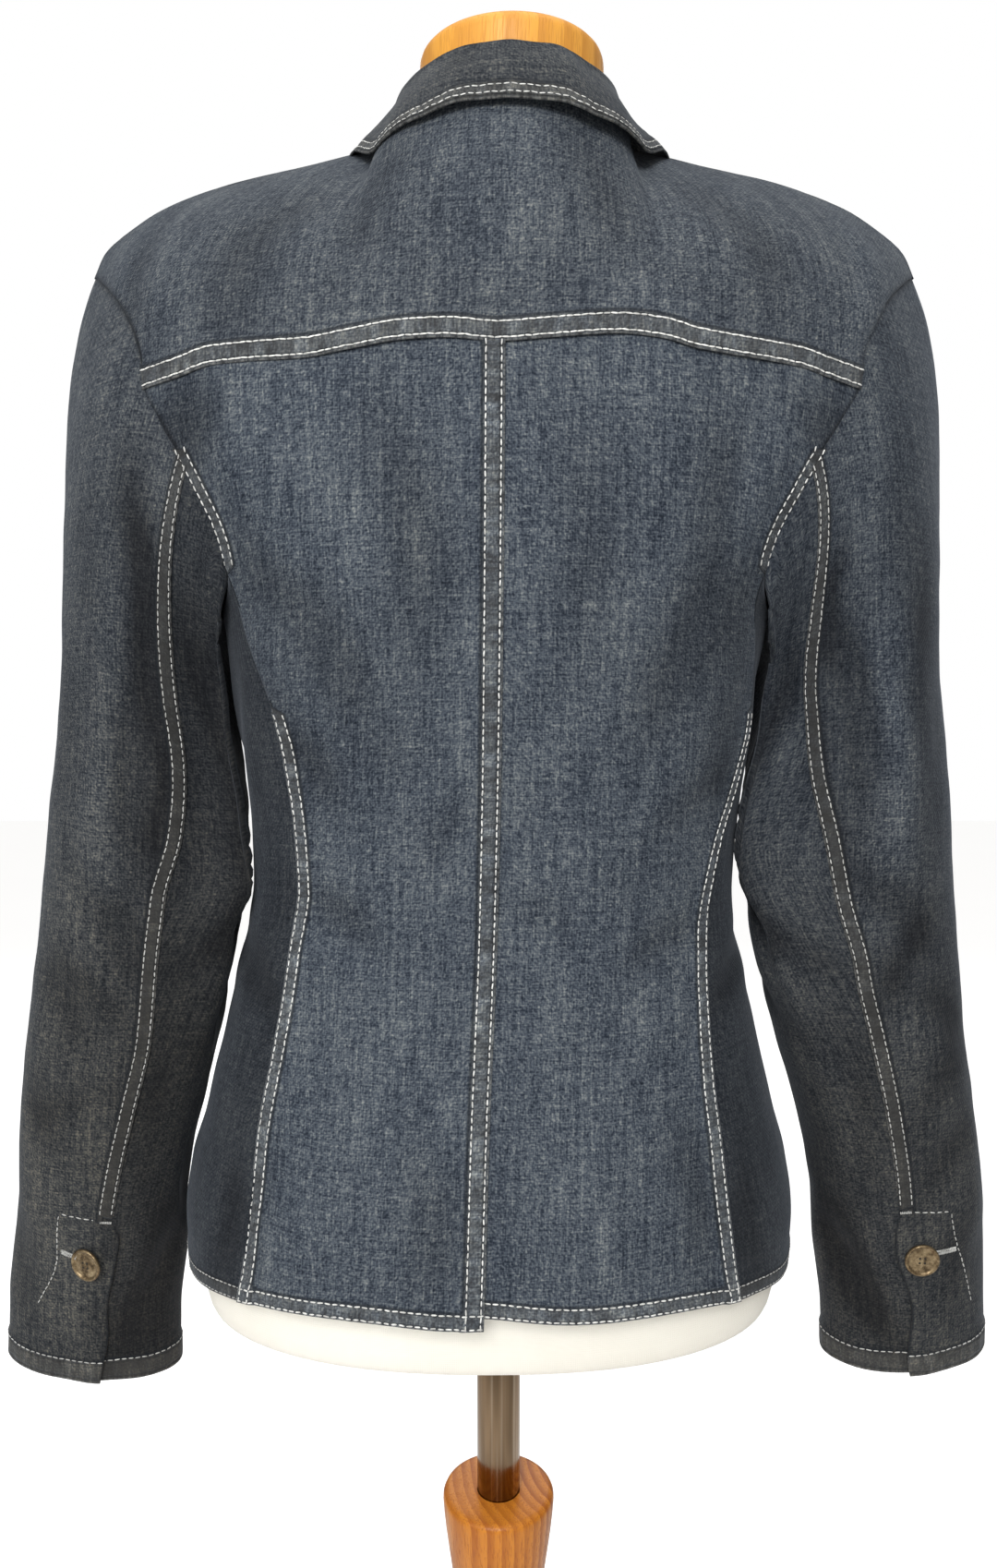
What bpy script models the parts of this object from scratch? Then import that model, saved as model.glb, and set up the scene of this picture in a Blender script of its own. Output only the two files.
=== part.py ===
"""A denim blazer worn by a limbless dress form on a stand.

Metres, +Z up. The wearer's left is +X and the back faces +Y. The origin is on the floor under the pole.
The body of the blazer lies on horizontal rings up to the chest; above them the yoke and the fronts are
lofted up to the shoulder seam. The sleeves are rings strung from the armhole down to the cuff.
"""

import bmesh
import bpy
import numpy as np
from mathutils import Vector

# ---------------------------------------------------------------- driving dimensions
WALL = 0.0020               # thickness of the cloth
SEAM_GAP = 0.0003           # space between two pieces that are sewn together
LAYER_GAP = 0.0006          # space between a layer and the panel under it
BACK_COLUMNS = 8
FRONT_COLUMNS = 7
SIDE_TURNS = (156, 168, 180, 192, 204)
YOKE_EDGE = 76              # armhole turn where the yoke seam ends
YOKE_END_ANGLE = 51.5       # the same place as an angle round the torso
YOKE_END_HEIGHT = 1.3225
YOKE_CENTRE_HEIGHT = 1.3295
CHEST_EDGE = 270            # armhole turn where the front's loft begins
CHEST_END_ANGLE = 130.0
CHEST_HEIGHT = 1.300
BACK_ARMHOLE_TURNS = (140, 124, 108, 92, 76)
SEAM_LEVELS = (0.858, 0.880, 0.905, 0.935, 0.965, 0.995, 1.025, 1.060, 1.095, 1.130, 1.160, 1.193, 1.226)
LOFT_LEVELS = (0.0, 0.27, 0.50, 0.70, 0.86, 1.0)

BUTTON_RADIUS = 0.0095
BUTTON_THICKNESS = 0.0030
FRONT_BUTTON_HEIGHTS = {"top": 1.165, "middle": 1.085, "bottom": 1.005}
FRONT_BUTTON_LIFT = {"top": 0.0003, "middle": 0.0010, "bottom": 0.0010}

NECK_CAP_CENTRE = (-0.007, 0.000)
NECK_CAP_RADIUS = 0.0485
NECK_CAP_TOP = 1.500
NECK_CAP_BOTTOM = 1.4655
POLE_RADIUS = 0.0125
FORM_BOTTOM = 0.826
POST_TOP = 0.699
SOCKET_DEPTH = 0.040
BASE_RADIUS = 0.170
BASE_THICKNESS = 0.026

# ---------------------------------------------------------------- tables, one row per ring or section
# height, centre_x, half_width, widest_y, back_depth, front_depth
TORSO = np.array((
    (0.845, 0.0055, 0.1715, -0.020, 0.136, 0.103),
    (0.875, 0.0055, 0.1735, -0.020, 0.134, 0.103),
    (0.903, 0.0055, 0.1695, -0.019, 0.129, 0.101),
    (0.930, 0.0050, 0.1625, -0.018, 0.123, 0.098),
    (0.957, 0.0050, 0.1565, -0.016, 0.116, 0.095),
    (0.984, 0.0045, 0.1500, -0.015, 0.109, 0.091),
    (1.011, 0.0045, 0.1445, -0.013, 0.103, 0.088),
    (1.065, 0.0035, 0.1345, -0.010, 0.097, 0.087),
    (1.100, 0.0030, 0.1360, -0.008, 0.097, 0.091),
    (1.155, 0.0025, 0.1425, -0.004, 0.099, 0.104),
    (1.205, 0.0015, 0.1465, 0.000, 0.101, 0.124),
    (1.236, 0.0010, 0.1600, 0.000, 0.102, 0.127),
    (1.270, 0.0000, 0.1830, 0.000, 0.102, 0.120),
    (1.300, -0.0010, 0.2030, 0.000, 0.101, 0.110),
    (1.3225, -0.0015, 0.2145, 0.000, 0.1005, 0.102),
    (1.3400, -0.0020, 0.2190, 0.000, 0.100, 0.095),
))
BACK_ROUND = 2.3            # superellipse power of the back half of a ring
FRONT_ROUND = 2.1

# share of the way from the centre to the shoulder tip, half_x, height
SHOULDER = np.array((
    (0.32, 0.0660, 1.4555),
    (0.40, 0.0850, 1.4520),
    (0.49, 0.1055, 1.4472),
    (0.66, 0.1460, 1.4380),
    (0.81, 0.1800, 1.4260),
    (0.90, 0.2000, 1.4140),
    (0.96, 0.2140, 1.4020),
    (1.00, 0.2200, 1.3900),
))
SHOULDER_CENTRE_X = -0.003
NECK_SHARE = 0.32
NECK_BACK_DEPTH = 0.071
NECK_BACK_HEIGHT = 1.4520

# turn round the armhole, angle round the torso, height; turn 0 is the shoulder tip, 180 the underarm
ARMHOLE = np.array((
    (76, 51.5, 1.3225),
    (92, 51.0, 1.3060),
    (108, 51.0, 1.2920),
    (124, 51.5, 1.2780),
    (140, 52.5, 1.2560),
    (156, 58.0, 1.2260),
    (168, 73.0, 1.2105),
    (180, 90.0, 1.2050),
    (192, 107.0, 1.2105),
    (204, 122.0, 1.2260),
    (222, 129.0, 1.2500),
    (245, 130.0, 1.2760),
    (270, 130.0, 1.3000),
))
BACK_LOFT_TURNS = (76, 60, 45, 30, 15, 0)
FRONT_LOFT_TURNS = (270, 292, 312, 330, 345, 360)

# height, x of the centre-back seam
CENTRE_BACK = np.array((
    (0.850, 0.0113), (0.950, 0.0087), (1.050, 0.0047), (1.150, 0.0026), (1.260, 0.0015), (1.340, 0.0010),
))
# height, distance of the side-back seam from x = 0, on the wearer's left and right
SIDE_BACK = {
    1: np.array((
        (0.850, 0.1310), (0.945, 0.1210), (0.989, 0.1130), (1.037, 0.1050), (1.075, 0.1000),
        (1.099, 0.1010), (1.157, 0.1110), (1.226, 0.1360),
    )),
    -1: np.array((
        (0.850, 0.1215), (0.926, 0.1140), (0.976, 0.1080), (1.025, 0.1060), (1.059, 0.1080),
        (1.088, 0.1135), (1.128, 0.1270), (1.153, 0.1310), (1.226, 0.1340),
    )),
}
# height, angle round the torso of the side-front seam
SIDE_FRONT = np.array(((0.850, 122.0), (1.060, 126.0), (1.226, 122.0)))
# height, how far the front edge or the roll line lies on its own side of the centre
FRONT_EDGE = np.array((
    (0.840, -0.018), (1.150, -0.018), (1.185, -0.017), (1.215, 0.000), (1.260, 0.022), (1.300, 0.038),
))
# angle round the torso, height of the hem
HEM = np.array(((0, 0.8670), (25, 0.8660), (50, 0.8590), (75, 0.8510), (100, 0.8500), (180, 0.8480)))

# height, centre_x, centre_y, half_width, half_depth, angle of the back seam, on both sides
SLEEVE = {
    1: np.array((
        (0.778, 0.2392, -0.010, 0.0500, 0.028, 104.0),
        (0.815, 0.2372, -0.008, 0.0495, 0.030, 104.5),
        (0.847, 0.2330, -0.006, 0.0492, 0.033, 111.0),
        (0.876, 0.2290, -0.003, 0.0487, 0.036, 109.0),
        (0.910, 0.2235, 0.000, 0.0498, 0.039, 111.0),
        (0.945, 0.2170, 0.002, 0.0515, 0.042, 114.0),
        (0.985, 0.2088, 0.004, 0.0535, 0.044, 116.0),
        (1.025, 0.2033, 0.004, 0.0527, 0.047, 116.0),
        (1.062, 0.1990, 0.003, 0.0512, 0.050, 118.0),
        (1.096, 0.1967, 0.001, 0.0500, 0.053, 127.0),
        (1.130, 0.1953, -0.001, 0.0468, 0.056, 131.0),
        (1.165, 0.1945, -0.002, 0.0445, 0.058, 128.0),
    )),
    -1: np.array((
        (0.785, 0.2395, -0.010, 0.0470, 0.032, 94.0),
        (0.815, 0.2375, -0.008, 0.0470, 0.033, 96.0),
        (0.847, 0.2345, -0.006, 0.0480, 0.034, 98.0),
        (0.876, 0.2310, -0.003, 0.0487, 0.036, 102.0),
        (0.910, 0.2245, 0.000, 0.0482, 0.039, 101.0),
        (0.945, 0.2170, 0.002, 0.0498, 0.042, 101.0),
        (0.985, 0.2080, 0.004, 0.0522, 0.044, 102.0),
        (1.025, 0.2000, 0.004, 0.0545, 0.047, 104.0),
        (1.062, 0.1975, 0.003, 0.0530, 0.050, 113.0),
        (1.096, 0.1968, 0.001, 0.0512, 0.053, 121.0),
        (1.130, 0.1966, -0.001, 0.0482, 0.056, 132.0),
        (1.165, 0.1965, -0.002, 0.0450, 0.058, 140.0),
    )),
}
SLEEVE_TILT = 0.09          # rise of a sleeve ring per metre outwards
CAP_STEPS = (0.0, 0.10, 0.28, 0.50, 0.75, 1.0)
UPPER_TURNS = (245, 270, 292, 312, 330, 345, 0, 15, 30, 45, 60, 76, 92, 108, 124)
UNDER_TURNS = (124, 140, 156, 168, 180, 192, 204, 222, 245)
ROUND_TURNS = UPPER_TURNS[6:] + UNDER_TURNS[1:] + UPPER_TURNS[1:6]
BACK_SEAM = 124
FRONT_SEAM = 245

# share of the way from the centre back to the notch,
# base x y z, fold x y z, edge x y z of the collar's section
COLLAR = np.array((
    (0.00, 0.0000, 0.0690, 1.4530, 0.0000, 0.0660, 1.4755, 0.0000, 0.0800, 1.4425),
    (0.17, 0.0225, 0.0655, 1.4540, 0.0200, 0.0620, 1.4755, 0.0240, 0.0785, 1.4415),
    (0.34, 0.0430, 0.0500, 1.4560, 0.0390, 0.0460, 1.4750, 0.0440, 0.0710, 1.4380),
    (0.48, 0.0570, 0.0270, 1.4580, 0.0530, 0.0250, 1.4745, 0.0640, 0.0485, 1.4390),
    (0.60, 0.0640, 0.0000, 1.4590, 0.0580, -0.0010, 1.4745, 0.0840, 0.0050, 1.4568),
    (0.74, 0.0590, -0.0250, 1.4490, 0.0570, -0.0290, 1.4620, 0.0926, -0.0270, 1.4420),
    (0.88, 0.0540, -0.0480, 1.4260, 0.0540, -0.0540, 1.4370, 0.0950, -0.0500, 1.4175),
    (1.00, 0.0500, -0.0660, 1.4000, 0.0520, -0.0740, 1.4080, 0.0930, -0.0690, 1.3950),
))
COLLAR_CENTRE_X = -0.0055
COLLAR_STATIONS = 13
COLLAR_BULGE = 0.0025
FOLD_RADIUS = 0.0038

# share of the way up the roll line, width of the lapel
LAPEL = np.array(((0.0, 0.004), (0.25, 0.022), (0.55, 0.040), (0.85, 0.056), (1.0, 0.060)))
LAPEL_START = {1: 1.228, -1: 1.192}
LAPEL_TOP = 0.56            # loft level of the gorge
LAPEL_ROWS = 9
LAPEL_COLUMNS = 4

FLAP_ANGLES = (104.0, 158.0)
FLAP_HEIGHTS = (1.0035, 1.0635)
FLAP_STAND_OFF = 0.0060     # how far its lower rear corner stands away
FLAP_ROWS = 3
FLAP_COLUMNS = 6

# height, centre_x, half_width, back_depth, back roundness, front_depth, front roundness of the form
FORM = np.array((
    (0.8260, 0.0050, 0.1500, 0.0880, 2.3, 0.0950, 2.3),
    (0.8300, 0.0050, 0.1580, 0.0950, 2.3, 0.1020, 2.3),
    (0.8400, 0.0050, 0.1610, 0.0980, 2.3, 0.1050, 2.3),
    (0.8750, 0.0050, 0.1610, 0.0990, 2.3, 0.1050, 2.3),
    (0.9100, 0.0050, 0.1570, 0.0960, 2.3, 0.1030, 2.3),
    (0.9500, 0.0050, 0.1460, 0.0900, 2.2, 0.0980, 2.2),
    (1.0000, 0.0045, 0.1370, 0.0820, 2.2, 0.0910, 2.2),
    (1.0650, 0.0035, 0.1260, 0.0770, 2.2, 0.0860, 2.2),
    (1.1100, 0.0030, 0.1280, 0.0800, 2.2, 0.0900, 2.2),
    (1.1600, 0.0025, 0.1345, 0.0860, 2.2, 0.1000, 2.2),
    (1.2050, 0.0015, 0.1390, 0.0920, 2.2, 0.1100, 2.2),
    (1.2500, 0.0005, 0.1450, 0.0930, 2.2, 0.1060, 2.2),
    (1.3000, -0.0010, 0.1560, 0.0900, 2.2, 0.0920, 2.1),
    (1.3400, -0.0020, 0.1640, 0.0830, 2.1, 0.0760, 2.0),
    (1.3700, -0.0025, 0.1670, 0.0740, 2.0, 0.0640, 1.9),
    (1.3950, -0.0030, 0.1620, 0.0640, 1.8, 0.0530, 1.8),
    (1.4150, -0.0030, 0.1440, 0.0550, 1.6, 0.0460, 1.4),
    (1.4300, -0.0035, 0.1180, 0.0500, 1.45, 0.0440, 1.05),
    (1.4400, -0.0035, 0.0820, 0.0475, 1.4, 0.0440, 1.05),
    (1.4480, -0.0045, 0.0580, 0.0470, 1.7, 0.0450, 1.5),
    (1.4560, -0.0060, 0.0480, 0.0465, 2.0, 0.0465, 2.0),
    (1.4650, -0.0070, 0.0470, 0.0465, 2.0, 0.0465, 2.0),
))
FORM_SIDES = 32

# radius, height of the turned post, from its foot to the edge of its top
POST = (
    (0.0330, 0.0265), (0.0350, 0.0360), (0.0270, 0.0520), (0.0190, 0.0800), (0.0175, 0.1400),
    (0.0205, 0.2600), (0.0250, 0.3900), (0.0265, 0.4600), (0.0240, 0.5100), (0.0206, 0.5500), (0.0200, 0.5750),
    (0.0212, 0.6000), (0.0240, 0.6250), (0.0275, 0.6510), (0.0309, 0.6760), (0.0322, 0.6880), (0.0326, 0.6940),
    (0.0318, 0.6978),
)

NECK_CAP = (
    (NECK_CAP_RADIUS - 0.001, NECK_CAP_BOTTOM), (NECK_CAP_RADIUS, NECK_CAP_BOTTOM + 0.002),
    (NECK_CAP_RADIUS, NECK_CAP_TOP - 0.003), (NECK_CAP_RADIUS - 0.003, NECK_CAP_TOP),
)
POLE = ((POLE_RADIUS, POST_TOP - SOCKET_DEPTH + SEAM_GAP), (POLE_RADIUS, FORM_BOTTOM - SEAM_GAP))
POST_SOCKET = (
    (0.0285, POST_TOP), (POLE_RADIUS + SEAM_GAP, POST_TOP), (POLE_RADIUS + SEAM_GAP, POST_TOP - SOCKET_DEPTH),
)
BASE = (
    (BASE_RADIUS - 0.003, 0.0), (BASE_RADIUS, 0.003), (BASE_RADIUS, BASE_THICKNESS - 0.007),
    (BASE_RADIUS - 0.007, BASE_THICKNESS),
)
# height, turn round the sleeve
CUFF_BUTTON_PLACES = {1: (0.854, 96.0 * 124 / 111), -1: (0.857, 89.0 * 124 / 98)}

DENIM = ("denim", (0.095, 0.110, 0.135, 1.0), 0.85, 0.0)
BRASS = ("antique brass", (0.36, 0.29, 0.17, 1.0), 0.35, 1.0)
JERSEY = ("cream jersey", (0.93, 0.90, 0.82, 1.0), 0.80, 0.0)
WOOD = ("light wood", (0.62, 0.36, 0.15, 1.0), 0.40, 0.0)
CHROME = ("chrome", (0.75, 0.74, 0.72, 1.0), 0.15, 1.0)


# ---------------------------------------------------------------- curves through the tables
def follow(table, place):
    """All of a table's other columns at one place of its first column, on smooth monotone curves."""
    keys = table[:, 0]
    values = table[:, 1:]
    place = min(max(place, keys[0]), keys[-1])
    row = min(max(int(np.searchsorted(keys, place)) - 1, 0), len(keys) - 2)
    steps = np.diff(keys)[:, None]
    rises = np.diff(values, axis=0) / steps
    slopes = np.vstack((rises[:1], np.zeros((len(keys) - 2, values.shape[1])), rises[-1:]))
    for k in range(1, len(keys) - 1):
        before, after = rises[k - 1], rises[k]
        same_way = before * after > 0.0
        total = np.where(same_way, before + after, 1.0)
        slopes[k] = np.where(same_way, 2.0 * before * after / total, 0.0)
    step = steps[row, 0]
    t = (place - keys[row]) / step
    return (
        values[row] * (1 + 2 * t) * (1 - t) ** 2 + slopes[row] * step * t * (1 - t) ** 2
        + values[row + 1] * t * t * (3 - 2 * t) - slopes[row + 1] * step * t * t * (1 - t)
    )


def signed_power(value, power):
    return np.sign(value) * abs(value) ** power


def unit(vector):
    return vector / np.linalg.norm(vector)


# ---------------------------------------------------------------- the torso's surface
def torso_point(angle, height):
    """The outer face of the blazer's body: angle 0 at the centre back, 90 at the wearer's left side."""
    centre_x, half_width, widest_y, back_depth, front_depth = follow(TORSO, height)
    sine, cosine = np.sin(np.radians(angle)), np.cos(np.radians(angle))
    depth, power = (back_depth, 2 / BACK_ROUND) if cosine >= 0 else (front_depth, 2 / FRONT_ROUND)
    return np.array((
        centre_x + half_width * signed_power(sine, power),
        widest_y + depth * signed_power(cosine, power),
        height,
    ))


def torso_normal(angle, height):
    across = torso_point(angle + 0.5, height) - torso_point(angle - 0.5, height)
    up = torso_point(angle, height + 0.002) - torso_point(angle, height - 0.002)
    return unit(np.cross(up, across))


def back_angle(x, height):
    centre_x, half_width = follow(TORSO, height)[:2]
    share = np.clip((x - centre_x) / half_width, -1.0, 1.0)
    return np.degrees(np.arcsin(signed_power(share, BACK_ROUND / 2)))


def front_angle(side, own_x, height):
    """The angle at a distance own_x from the centre, counted towards the panel's own side."""
    centre_x, half_width = follow(TORSO, height)[:2]
    share = np.clip((own_x - side * centre_x) / half_width, -1.0, 1.0)
    return side * (180.0 - np.degrees(np.arcsin(signed_power(share, FRONT_ROUND / 2))))


def side_back_angle(side, height):
    """The side-back seam, which bends to meet the armhole at its top."""
    angle = abs(back_angle(side * follow(SIDE_BACK[side], height)[0], height))
    return angle + (follow(ARMHOLE, SIDE_TURNS[0])[0] - angle) * seam_rise(height) ** 2


def seam_rise(height):
    """0 up to the last level ring, 1 where the seams end at the armhole."""
    return np.clip((height - SEAM_LEVELS[-3]) / (SEAM_LEVELS[-1] - SEAM_LEVELS[-3]), 0.0, 1.0)


def yoke_height(angle):
    return YOKE_CENTRE_HEIGHT - (YOKE_CENTRE_HEIGHT - YOKE_END_HEIGHT) * (angle / YOKE_END_ANGLE) ** 2


def hem_height(angle):
    return follow(HEM, abs((angle + 180) % 360 - 180))[0]


# ---------------------------------------------------------------- the lofts up to the shoulder seam
def shoulder_point(side, share):
    half_x, height = follow(SHOULDER, share)
    return np.array((SHOULDER_CENTRE_X + side * half_x, 0.0, height))


def yoke_top(side, share):
    """The back neckline up to NECK_SHARE, and the shoulder seam from there to the tip."""
    if share >= NECK_SHARE:
        return shoulder_point(side, share)
    quarter = np.pi / 2 * max(share, 0.0) / NECK_SHARE
    neck = shoulder_point(side, NECK_SHARE)
    half_x = abs(neck[0] - SHOULDER_CENTRE_X)
    return np.array((
        SHOULDER_CENTRE_X + side * half_x * np.sin(quarter) ** 0.9,
        NECK_BACK_DEPTH * np.cos(quarter) ** 0.9,
        NECK_BACK_HEIGHT + (neck[2] - NECK_BACK_HEIGHT) * np.sin(quarter) ** 2,
    ))


def loft(bottom, top, level, lean):
    """A point on the curve that rises upright from bottom and leans over to top."""
    return bottom + (top - bottom) * np.array((level ** 1.75, level ** lean, level))


def yoke_point(side, share, level):
    centre = back_angle(follow(CENTRE_BACK, YOKE_CENTRE_HEIGHT)[0], YOKE_CENTRE_HEIGHT)
    angle = centre + share * (side * YOKE_END_ANGLE - centre)
    lean = 1.6 + 0.6 * min(share / 0.45, 1.0)
    return loft(torso_point(angle, yoke_height(angle)), yoke_top(side, share), level, lean)


def front_loft_point(side, share, level):
    inner = front_angle(side, follow(FRONT_EDGE, CHEST_HEIGHT)[0], CHEST_HEIGHT)
    angle = inner + share * (side * CHEST_END_ANGLE - inner)
    top = shoulder_point(side, NECK_SHARE + (1 - NECK_SHARE) * share)
    return loft(torso_point(angle, CHEST_HEIGHT), top, level, 2.0 + 0.2 * min(share / 0.4, 1.0))


def loft_normal(surface, side, share, level):
    """The outward normal of yoke_point or front_loft_point."""
    across = surface(side, min(share + 0.01, 1.0), level) - surface(side, max(share - 0.01, 0.0), level)
    up = surface(side, share, min(level + 0.01, 1.0)) - surface(side, share, max(level - 0.01, 0.0))
    outwards = side if surface is yoke_point else -side
    return unit(np.cross(up, across)) * outwards


def mitre(one, other):
    """The inward step of a wall where two faces with these normals meet."""
    between = unit(one + other)
    return -between * WALL / max(np.dot(between, one), 0.8)


def shoulder_mitre(side, share):
    """At the shoulder seam, between the yoke and the front; share is the front's."""
    back = loft_normal(yoke_point, side, NECK_SHARE + (1 - NECK_SHARE) * share, 1.0)
    return mitre(back, loft_normal(front_loft_point, side, share, 1.0))


# ---------------------------------------------------------------- armhole and sleeves
def armhole_point(side, turn):
    """The sewn edge of the armhole."""
    turn = turn % 360
    if turn <= YOKE_EDGE:
        return yoke_point(side, 1.0, np.interp(turn, BACK_LOFT_TURNS[::-1], LOFT_LEVELS[::-1]))
    if turn >= CHEST_EDGE:
        return front_loft_point(side, 1.0, np.interp(turn, FRONT_LOFT_TURNS, LOFT_LEVELS))
    angle, height = follow(ARMHOLE, turn)
    return torso_point(side * angle, height)


def armhole_normal(side, turn):
    """The body's outward normal at the armhole."""
    turn = turn % 360
    if turn == 0:
        return unit(loft_normal(yoke_point, side, 1.0, 1.0) + loft_normal(front_loft_point, side, 1.0, 1.0))
    if turn <= YOKE_EDGE:
        level = np.interp(turn, BACK_LOFT_TURNS[::-1], LOFT_LEVELS[::-1])
        return loft_normal(yoke_point, side, 1.0, level)
    if turn >= CHEST_EDGE:
        level = np.interp(turn, FRONT_LOFT_TURNS, LOFT_LEVELS)
        return loft_normal(front_loft_point, side, 1.0, level)
    angle, height = follow(ARMHOLE, turn)
    return torso_normal(side * angle, height)


def armhole_mitre(side, turn):
    """The inward step where panel and sleeve meet at the armhole, nearer the panel's own."""
    ahead = cap_point(side, turn, 0.04) - cap_point(side, turn, 0.0)
    along = armhole_point(side, turn + 2) - armhole_point(side, turn - 2)
    body = armhole_normal(side, turn)
    return mitre(body, unit(6 * body - side * unit(np.cross(along, ahead))))


def sleeve_ring(side, height, turn):
    """A point of a sleeve ring; turn 0 is the outer edge, and 124 is always the back seam."""
    centre_x, centre_y, half_width, half_depth, seam = follow(SLEEVE[side], height)
    turn = turn % 360
    if turn <= BACK_SEAM:
        turned_to = turn * seam / BACK_SEAM
    elif turn <= FRONT_SEAM:
        turned_to = seam + (turn - BACK_SEAM) * (FRONT_SEAM - seam) / (FRONT_SEAM - BACK_SEAM)
    else:
        turned_to = turn
    out = half_width * np.cos(np.radians(turned_to))
    return np.array((
        side * (centre_x + out),
        centre_y + half_depth * np.sin(np.radians(turned_to)),
        height + SLEEVE_TILT * out,
    ))


def cap_point(side, turn, step):
    """The sleeve head, between the armhole at step 0 and the first free ring at step 1."""
    top = SLEEVE[side][-1, 0]
    start, end = armhole_point(side, turn), sleeve_ring(side, top, turn)
    below = sleeve_ring(side, SLEEVE[side][-2, 0], turn)
    reach = np.linalg.norm(end - start)
    outwards = 0.35 + 0.10 * np.cos(np.radians(turn))
    leave = unit(np.array((side * outwards, 0.0, -1.0))) * reach
    arrive = unit(below - end) * reach
    return (
        start * (1 + 2 * step) * (1 - step) ** 2 + leave * step * (1 - step) ** 2
        + end * step * step * (3 - 2 * step) - arrive * step * step * (1 - step)
    )


def sleeve_layers(side, turns):
    """Points and inward steps of one sleeve panel, taken from the whole round sleeve."""
    rows = [[cap_point(side, turn, step) for turn in ROUND_TURNS] for step in CAP_STEPS]
    for height in SLEEVE[side][-2::-1, 0]:
        rows.append([sleeve_ring(side, height, turn) for turn in ROUND_TURNS])
    points = np.array(rows)
    along = np.roll(points, -1, axis=1) - np.roll(points, 1, axis=1)
    normals = -side * np.cross(along, np.gradient(points, axis=0))
    inward = -WALL * normals / np.linalg.norm(normals, axis=2, keepdims=True)
    inward[0] = [armhole_mitre(side, turn) for turn in ROUND_TURNS]
    inward[1:-1] = (inward[:-2] + 2 * inward[1:-1] + inward[2:]) / 4
    columns = [ROUND_TURNS.index(turn % 360) for turn in turns]
    return points[:, columns], inward[:, columns]


# ---------------------------------------------------------------- panels of the body
def layers(rows):
    """Rows of (point, inward step) pairs as two arrays."""
    both = np.array(rows)
    return both[:, :, 0], both[:, :, 1]


def on_torso(angle, height):
    return torso_point(angle, height), -WALL * torso_normal(angle, height)


def yoke_layers():
    shares = [(-1, k / BACK_COLUMNS) for k in range(BACK_COLUMNS, 0, -1)]
    shares += [(1, k / BACK_COLUMNS) for k in range(BACK_COLUMNS + 1)]
    rows = []
    for level, turn in zip(LOFT_LEVELS, BACK_LOFT_TURNS):
        row = []
        for side, share in shares:
            inward = -WALL * loft_normal(yoke_point, side, share, level)
            if share == 1.0:
                inward = armhole_mitre(side, turn)
            elif level == 1.0 and share >= NECK_SHARE:
                inward = shoulder_mitre(side, (share - NECK_SHARE) / (1 - NECK_SHARE))
            row.append((yoke_point(side, share, level), inward))
        rows.append(row)
    return layers(rows)


def back_layers(side):
    """From the centre-back seam to the side-back seam, and above that to the armhole."""
    junction = SEAM_LEVELS[-1]
    rows = []
    for level in SEAM_LEVELS:
        centre = back_angle(follow(CENTRE_BACK, level)[0], level)
        edge = side * side_back_angle(side, level)
        angles = np.linspace(centre, edge, BACK_COLUMNS + 1)
        is_hem = level == SEAM_LEVELS[0]
        rows.append([on_torso(angle, hem_height(angle) if is_hem else level) for angle in angles])
    rows[-1][-1] = (rows[-1][-1][0], armhole_mitre(side, SIDE_TURNS[0]))
    for turn in BACK_ARMHOLE_TURNS:
        edge_angle, edge_height = follow(ARMHOLE, turn)
        rise = (edge_height - junction) / (YOKE_END_HEIGHT - junction)
        centre_height = junction + rise * (YOKE_CENTRE_HEIGHT - junction)
        centre = back_angle(follow(CENTRE_BACK, centre_height)[0], centre_height)
        drop = (centre_height - edge_height) / edge_angle ** 2
        angles = np.linspace(centre, side * edge_angle, BACK_COLUMNS + 1)
        row = [on_torso(angle, centre_height - drop * angle ** 2) for angle in angles]
        row[-1] = (row[-1][0], armhole_mitre(side, turn))
        rows.append(row)
    for column, angle in enumerate(angles):
        share = column / BACK_COLUMNS
        if column < BACK_COLUMNS:
            rows[-1][column] = (rows[-1][column][0], -WALL * loft_normal(yoke_point, side, share, 0.0))
    return layers(rows)


def side_layers(side):
    """From the side-back seam to the side-front seam, up to the underarm."""
    shares = np.linspace(0.0, 1.0, len(SIDE_TURNS))
    tops = [follow(ARMHOLE, turn) for turn in SIDE_TURNS]
    rows = []
    for level in SEAM_LEVELS:
        rise = seam_rise(level)
        rear, fore = side_back_angle(side, level), follow(SIDE_FRONT, level)[0]
        row = []
        for share, (top_angle, top_height) in zip(shares, tops):
            even_top = tops[0][0] + share * (tops[-1][0] - tops[0][0])
            angle = side * (rear + share * (fore - rear) + (top_angle - even_top) * rise ** 2)
            height = level if rise == 0.0 else SEAM_LEVELS[-3] + rise * (top_height - SEAM_LEVELS[-3])
            row.append(on_torso(angle, hem_height(angle) if level == SEAM_LEVELS[0] else height))
        rows.append(row)
    rows[-1] = [(pair[0], armhole_mitre(side, turn)) for pair, turn in zip(rows[-1], SIDE_TURNS)]
    return layers(rows)


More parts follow.
